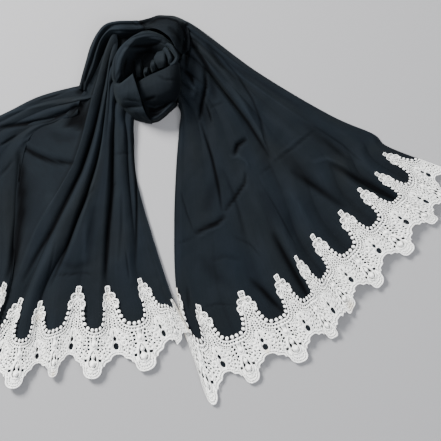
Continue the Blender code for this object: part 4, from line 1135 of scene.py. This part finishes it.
def net_mesh(first, last):
    """Flat points and triangles of the net of a trim, with its eyelets cut through."""
    top = trim_line(NET_TOP, first, last, NET_STEP)
    bottom = trim_line(NET_BOTTOM, first, last, NET_STEP)
    loops = [np.concatenate([top, bottom[::-1]])]
    low, high = first * PITCH + MARGIN, last * PITCH - MARGIN
    for peak in range(floor(first), ceil(last) + 1):
        for hole in REPEAT_EYELETS:
            moved = hole + (peak * PITCH, 0)
            if moved[:, 0].min() > low and moved[:, 0].max() < high:
                loops.append(moved)
    points, edges = [], []
    for loop in loops:
        start = len(points)
        points += [Vector(p) for p in loop]
        edges += [(start + i, start + (i + 1) % len(loop)) for i in range(len(loop))]
    inner = [
        (x, y)
        for x in np.arange(first * PITCH + NET_SPACING / 2, last * PITCH - NET_END, NET_SPACING)
        for y in np.arange(*NET_FILLED, NET_SPACING)
    ]
    points += [Vector(p) for p in inner]
    result = delaunay_2d_cdt(points, edges, [], 0, JOINED)
    flat = np.array([tuple(p) for p in result[0]])
    triangles = np.array(result[2])
    middles = flat[triangles].mean(axis=1)
    keep = is_inside(middles, loops[0])
    grid = {}
    for hole in loops[1:]:
        grid.setdefault(int(hole[:, 0].mean() // CELL), []).append(hole)
    for cell, holes in grid.items():
        near = np.nonzero(keep & (np.abs(middles[:, 0] / CELL - cell - 0.5) < NEAR_CELLS))[0]
        for hole in holes:
            keep[near] &= ~is_inside(middles[near], hole)
    used = np.unique(triangles[keep])
    renumber = np.zeros(len(flat), int)
    renumber[used] = np.arange(len(used))
    return flat[used], renumber[triangles[keep]]


CORD_SIDES = 6
CORD_FLATNESS = 0.8
BOBBLE_RISE = 0.62      # of its middle, and its height, in radii
BOBBLE_FLATNESS = 0.85
BALL = bmesh.new()
bmesh.ops.create_icosphere(BALL, subdivisions=2, radius=1)
BALL_POINTS = np.array([v.co[:] for v in BALL.verts])
BALL_FACES = [[v.index for v in f.verts] for f in BALL.faces]
BALL.free()


def add_cord(made, line, radius, rise):
    """A round cord on a flat line: points across, down and up from the net, faces and stitch places."""
    points, faces, stitch = made
    if len(line) < 2:
        return
    start = len(points)
    normals = side_of(line)
    for place, normal, far in zip(line, normals, run_of(line)):
        for k in range(CORD_SIDES):
            turn = 2 * pi * k / CORD_SIDES
            x, y = place + normal * radius * cos(turn)
            points.append((x, y, rise + radius * CORD_FLATNESS * sin(turn)))
            stitch.append((far, radius * turn))
    for ring in range(len(line) - 1):
        for k in range(CORD_SIDES):
            a, b = start + ring * CORD_SIDES + k, start + ring * CORD_SIDES + (k + 1) % CORD_SIDES
            faces.append((a, b, b + CORD_SIDES, a + CORD_SIDES))
    for end in (start, start + (len(line) - 1) * CORD_SIDES):
        faces.append(tuple(range(end, end + CORD_SIDES)))


def add_bobble(made, x, y, radius):
    """A round bobble of thread sitting on the net."""
    points, faces, stitch = made
    start = len(points)
    for px, py, pz in BALL_POINTS:
        lift = radius * BOBBLE_RISE + pz * radius * BOBBLE_FLATNESS
        points.append((x + px * radius, y + py * radius, lift))
        stitch.append((x + px * radius, y + pz * radius * 2))
    faces.extend(tuple(start + i for i in face) for face in BALL_FACES)


END_INSET = 0.8         # of the cord along each end of a trim
END_CORD = (1.2, 0.9)
END_POINTS = 30
ARM_STEP = 0.5
ARM_CLEAR, LOBE_CLEAR = 1, 2    # of the bobbles' middles from those cords


def cord_mesh(first, last):
    """All cords and bobbles of a trim, laid out in the flat."""
    made = ([], [], [])
    low, high = first * PITCH + END_INSET, last * PITCH - END_INSET
    half_cords = [(radius, rise, smooth_line(line, CORD_STEP)) for radius, rise, *line in CORDS]
    for x, y in MEDALLIONS:
        turns = [k * pi / 6 for k in range(13)]
        ring = [(x + MEDALLION_RADIUS * sin(turn), y + MEDALLION_RADIUS * cos(turn)) for turn in turns]
        half_cords.append((*MEDALLION_CORD, np.array(ring)))
    along_arm = smooth_line(smooth_line(ARM_EDGE, ARM_STEP), ARM_STEP)
    run = np.linspace(0, len(along_arm) - 1, 2 * ARM_BOBBLES)[: -1 : 2].round().astype(int)
    half_bobbles = [(BOBBLE_SIZE, *along_arm[i]) for i in run]
    inward = -side_of(along_arm) * STALK
    half_cords += [(*STALK_CORD, along_arm[i] + inward[i] * [[0], [0.5], [1]]) for i in run]
    for peak in range(floor(first), ceil(last) + 1):
        for side in (1, -1):
            for radius, rise, line in half_cords:
                moved = line * (side, 1) + (peak * PITCH, 0)
                inside = (moved[:, 0] > low) & (moved[:, 0] < high)
                if inside.sum() > 1:
                    add_cord(made, moved[inside], radius, rise)
            for radius, x, y in half_bobbles:
                place = peak * PITCH + side * x
                if low + ARM_CLEAR < place < high - ARM_CLEAR:
                    add_bobble(made, place, y, radius)
        for radius, x, y in BOBBLES:
            place = peak * PITCH + x
            if low + LOBE_CLEAR < place < high - LOBE_CLEAR:
                add_bobble(made, place, y, radius)
    for edge in (low, high):
        depths = np.linspace(*end_of_trim(edge), END_POINTS)
        add_cord(made, np.column_stack([np.full(END_POINTS, edge), depths]), *END_CORD)
    points, faces, stitch = made
    return np.array(points), faces, np.array(stitch)


TAB_FORM = ((0, 1), (5, 1), (10.4, 39))     # the net's top edge at a peak, drawn simply
ARM_START = 37          # depth below which the arm's edge runs steadily down
END_SHORT = 1           # of the end's cord, inside each edge of the net


def end_of_trim(x):
    """Depths of the net's two edges at a flat x."""
    from_peak = abs(x - PITCH * round(x / PITCH))
    arm = [place for place in NET_TOP if place[1] > ARM_START]
    rising = arm if from_peak > TAB_FORM[-1][0] else TAB_FORM
    top = np.interp(from_peak, *np.transpose(rising))
    bottom = np.interp(from_peak, *np.transpose(NET_BOTTOM))
    return top + END_SHORT, bottom - END_SHORT


ROW_WANDER = 2.0
CELL_SCALE = 2.2
CELL_HEIGHT = -0.8      # the cells' middles are low, next to the rows' height
SOIL_SCALE = 30
# How light the gaps between the stitches are for their height, a painted shade, and how far soiling
# changes the colour
GAP_RANGE = {"From Min": -0.3, "From Max": 0.6, "To Min": 0.86, "To Max": 1.0}
SOIL_RANGE = {"To Min": 0.95, "To Max": 1.06}


def thread_group():
    """Crocheted cotton: rows of small stitches with painted shade in the gaps between them, in uneven
    off-white.
    """
    group, given, made = new_group(
        "crochet_thread",
        {
            "Colour": "Color",
            "Beige And Shade Colour": "Color",
            "Lit": "Float",
            "Place": "Vector",
            "Density": "Float",
        },
        {"Base Color": "Color", "Height": "Float"},
    )
    stitch = scaled(group, given["Place"], given["Density"])
    wave = {"Scale": 1.0, "Distortion": ROW_WANDER, "Vector": stitch}
    rows = add_node(group, "TexWave", wave, bands_direction="DIAGONAL")
    cells = add_node(group, "TexVoronoi", {"Scale": CELL_SCALE, "Vector": stitch})
    soil = add_node(group, "TexNoise", {"Scale": SOIL_SCALE, "Detail": 4, "Vector": given["Place"]})
    height = compute(group, "MULTIPLY_ADD", cells.outputs["Distance"], CELL_HEIGHT, rows.outputs["Fac"])
    group.links.new(height, made["Height"])
    gaps = add_node(group, "MapRange", {**GAP_RANGE, "Value": height})
    drift = add_node(group, "MapRange", {**SOIL_RANGE, "Value": soil.outputs["Fac"]})
    # Beige, and painted shade where a lobe turns over, wherever the cotton is less white
    tones = {"Factor": given["Lit"], "A": given["Beige And Shade Colour"], "B": given["Colour"]}
    shade = add_node(group, "Mix", tones, data_type="RGBA")
    strength = compute(group, "MULTIPLY", gaps.outputs["Result"], drift.outputs["Result"])
    group.links.new(scaled(group, shade.outputs["Result"], strength), made["Base Color"])
    return group


COTTON_FINISH = {
    "Roughness": 0.82,
    "Specular IOR Level": 0.25,
    "Sheen Weight": 0.2,
    "Sheen Roughness": 0.6,
}
# Beige at the tab feet and the first end, also the painted shade where a lobe turns over
BEIGE_AND_SHADE = (0.52, 0.43, 0.29, 1)
THREAD_BUMP = 0.8
# The net is worked in finer thread than the cords; its greyer colour is painted shade, for the net
# lying low between the raised cords. Name, colour, stitches to a metre, relief
THREADS = (
    ("crochet_net", (0.84, 0.85, 0.82, 1), 420, 0.5),
    ("crochet_cord", (0.97, 0.97, 0.945, 1), 620, 0.4),
)
crochet = thread_group()
net_cotton, cord_cotton = [
    fibre_material(
        name,
        crochet,
        {"Colour": colour, "Beige And Shade Colour": BEIGE_AND_SHADE, "Density": density},
        COTTON_FINISH,
        relief,
        THREAD_BUMP,
    )
    for name, colour, density, relief in THREADS
]

TAB_FOOT = (2.8, 14, 2.4)       # half its width, how far down it is, half its depth
END_REACH = 6
FOOT_BEIGE, END_BEIGE, TURN_SHADE = 0.8, 0.55, 0.6    # how strong the beige is at each; at a turn it is painted shade


def whiteness(flat, first, turned_shade):
    """How white the cotton is: beige at each tab's foot and at the first end, and painted shade where
    a lobe turns over.

    Such a place is its repeat, how far down it is from the peak's tip, and its radius."""
    from_peak = flat[:, 0] - PITCH * np.round(flat[:, 0] / PITCH)
    across, down, size = TAB_FOOT
    foot = np.exp(-((from_peak / across) ** 2) - ((flat[:, 1] - down) / size) ** 2)
    end = np.exp(-(((flat[:, 0] - first * PITCH) / END_REACH) ** 2))
    share = FOOT_BEIGE * foot + END_BEIGE * end
    for repeat, down, radius in turned_shade:
        away = np.hypot(flat[:, 0] - repeat * PITCH, flat[:, 1] - down)
        share += TURN_SHADE * np.exp(-((away / radius) ** 2))
    return 1 - np.clip(share, 0, 1)


def crocheted_piece(name, points, faces, stitch, white):
    """Closed cords and bobbles of thread, with their faces turned outwards."""
    piece = lay_mesh(name, points, faces, stitch, white, cord_cotton)
    work = bmesh.new()
    work.from_mesh(piece.data)
    bmesh.ops.recalc_face_normals(work, faces=work.faces[:])
    work.to_mesh(piece.data)
    work.free()
    piece.data.shade_smooth()
    return piece


def lace_trim(name, node, panel, last, turned_shade):
    """The trim of one stretch, up to repeat `last`: its net, and its cords and bobbles."""
    first = panel[0][0][0]
    flat, triangles = net_mesh(first, last)
    points = on_panel(panel, flat)[0]
    points[:, 2] += CHIFFON_WALL + NET_LIFT
    white = whiteness(flat, first, turned_shade)
    net = cloth_piece(f"{name}_net", points, triangles.tolist(), flat, white, NET_WALL, net_cotton)
    laid, faces, stitch = cord_mesh(first, last)
    points = on_panel(panel, laid[:, :2])[0]
    points[:, 2] += CHIFFON_WALL + NET_LIFT + NET_WALL + laid[:, 2]
    cords = crocheted_piece(f"{name}_cords", points, faces, stitch, whiteness(laid, first, turned_shade))
    for piece in (net, cords):
        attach(piece, "root")
        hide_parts(node)


# Where a lobe turns over and is given painted shade: repeat, depth below the peak's tip, radius
RIGHT_TURN_SHADE = ((4.5, 139, 9), (7.0, 118, 7), (2.0, 106, 4))
LEFT_TURN_SHADE = ((5.0, 30, 8), (4.5, 141, 5), (3.0, 22, 6))

lace_trim(
    "right_lace", "lace_right_fan", RIGHT_PANEL, 9.4, RIGHT_TURN_SHADE,
)
lace_trim(
    "left_lace", "lace_left_fan", LEFT_PANEL, 6.7, LEFT_TURN_SHADE,
)
lace_trim(
    "wing_lace", "lace_left_wing", WING_PANEL, 10.4, (),
)
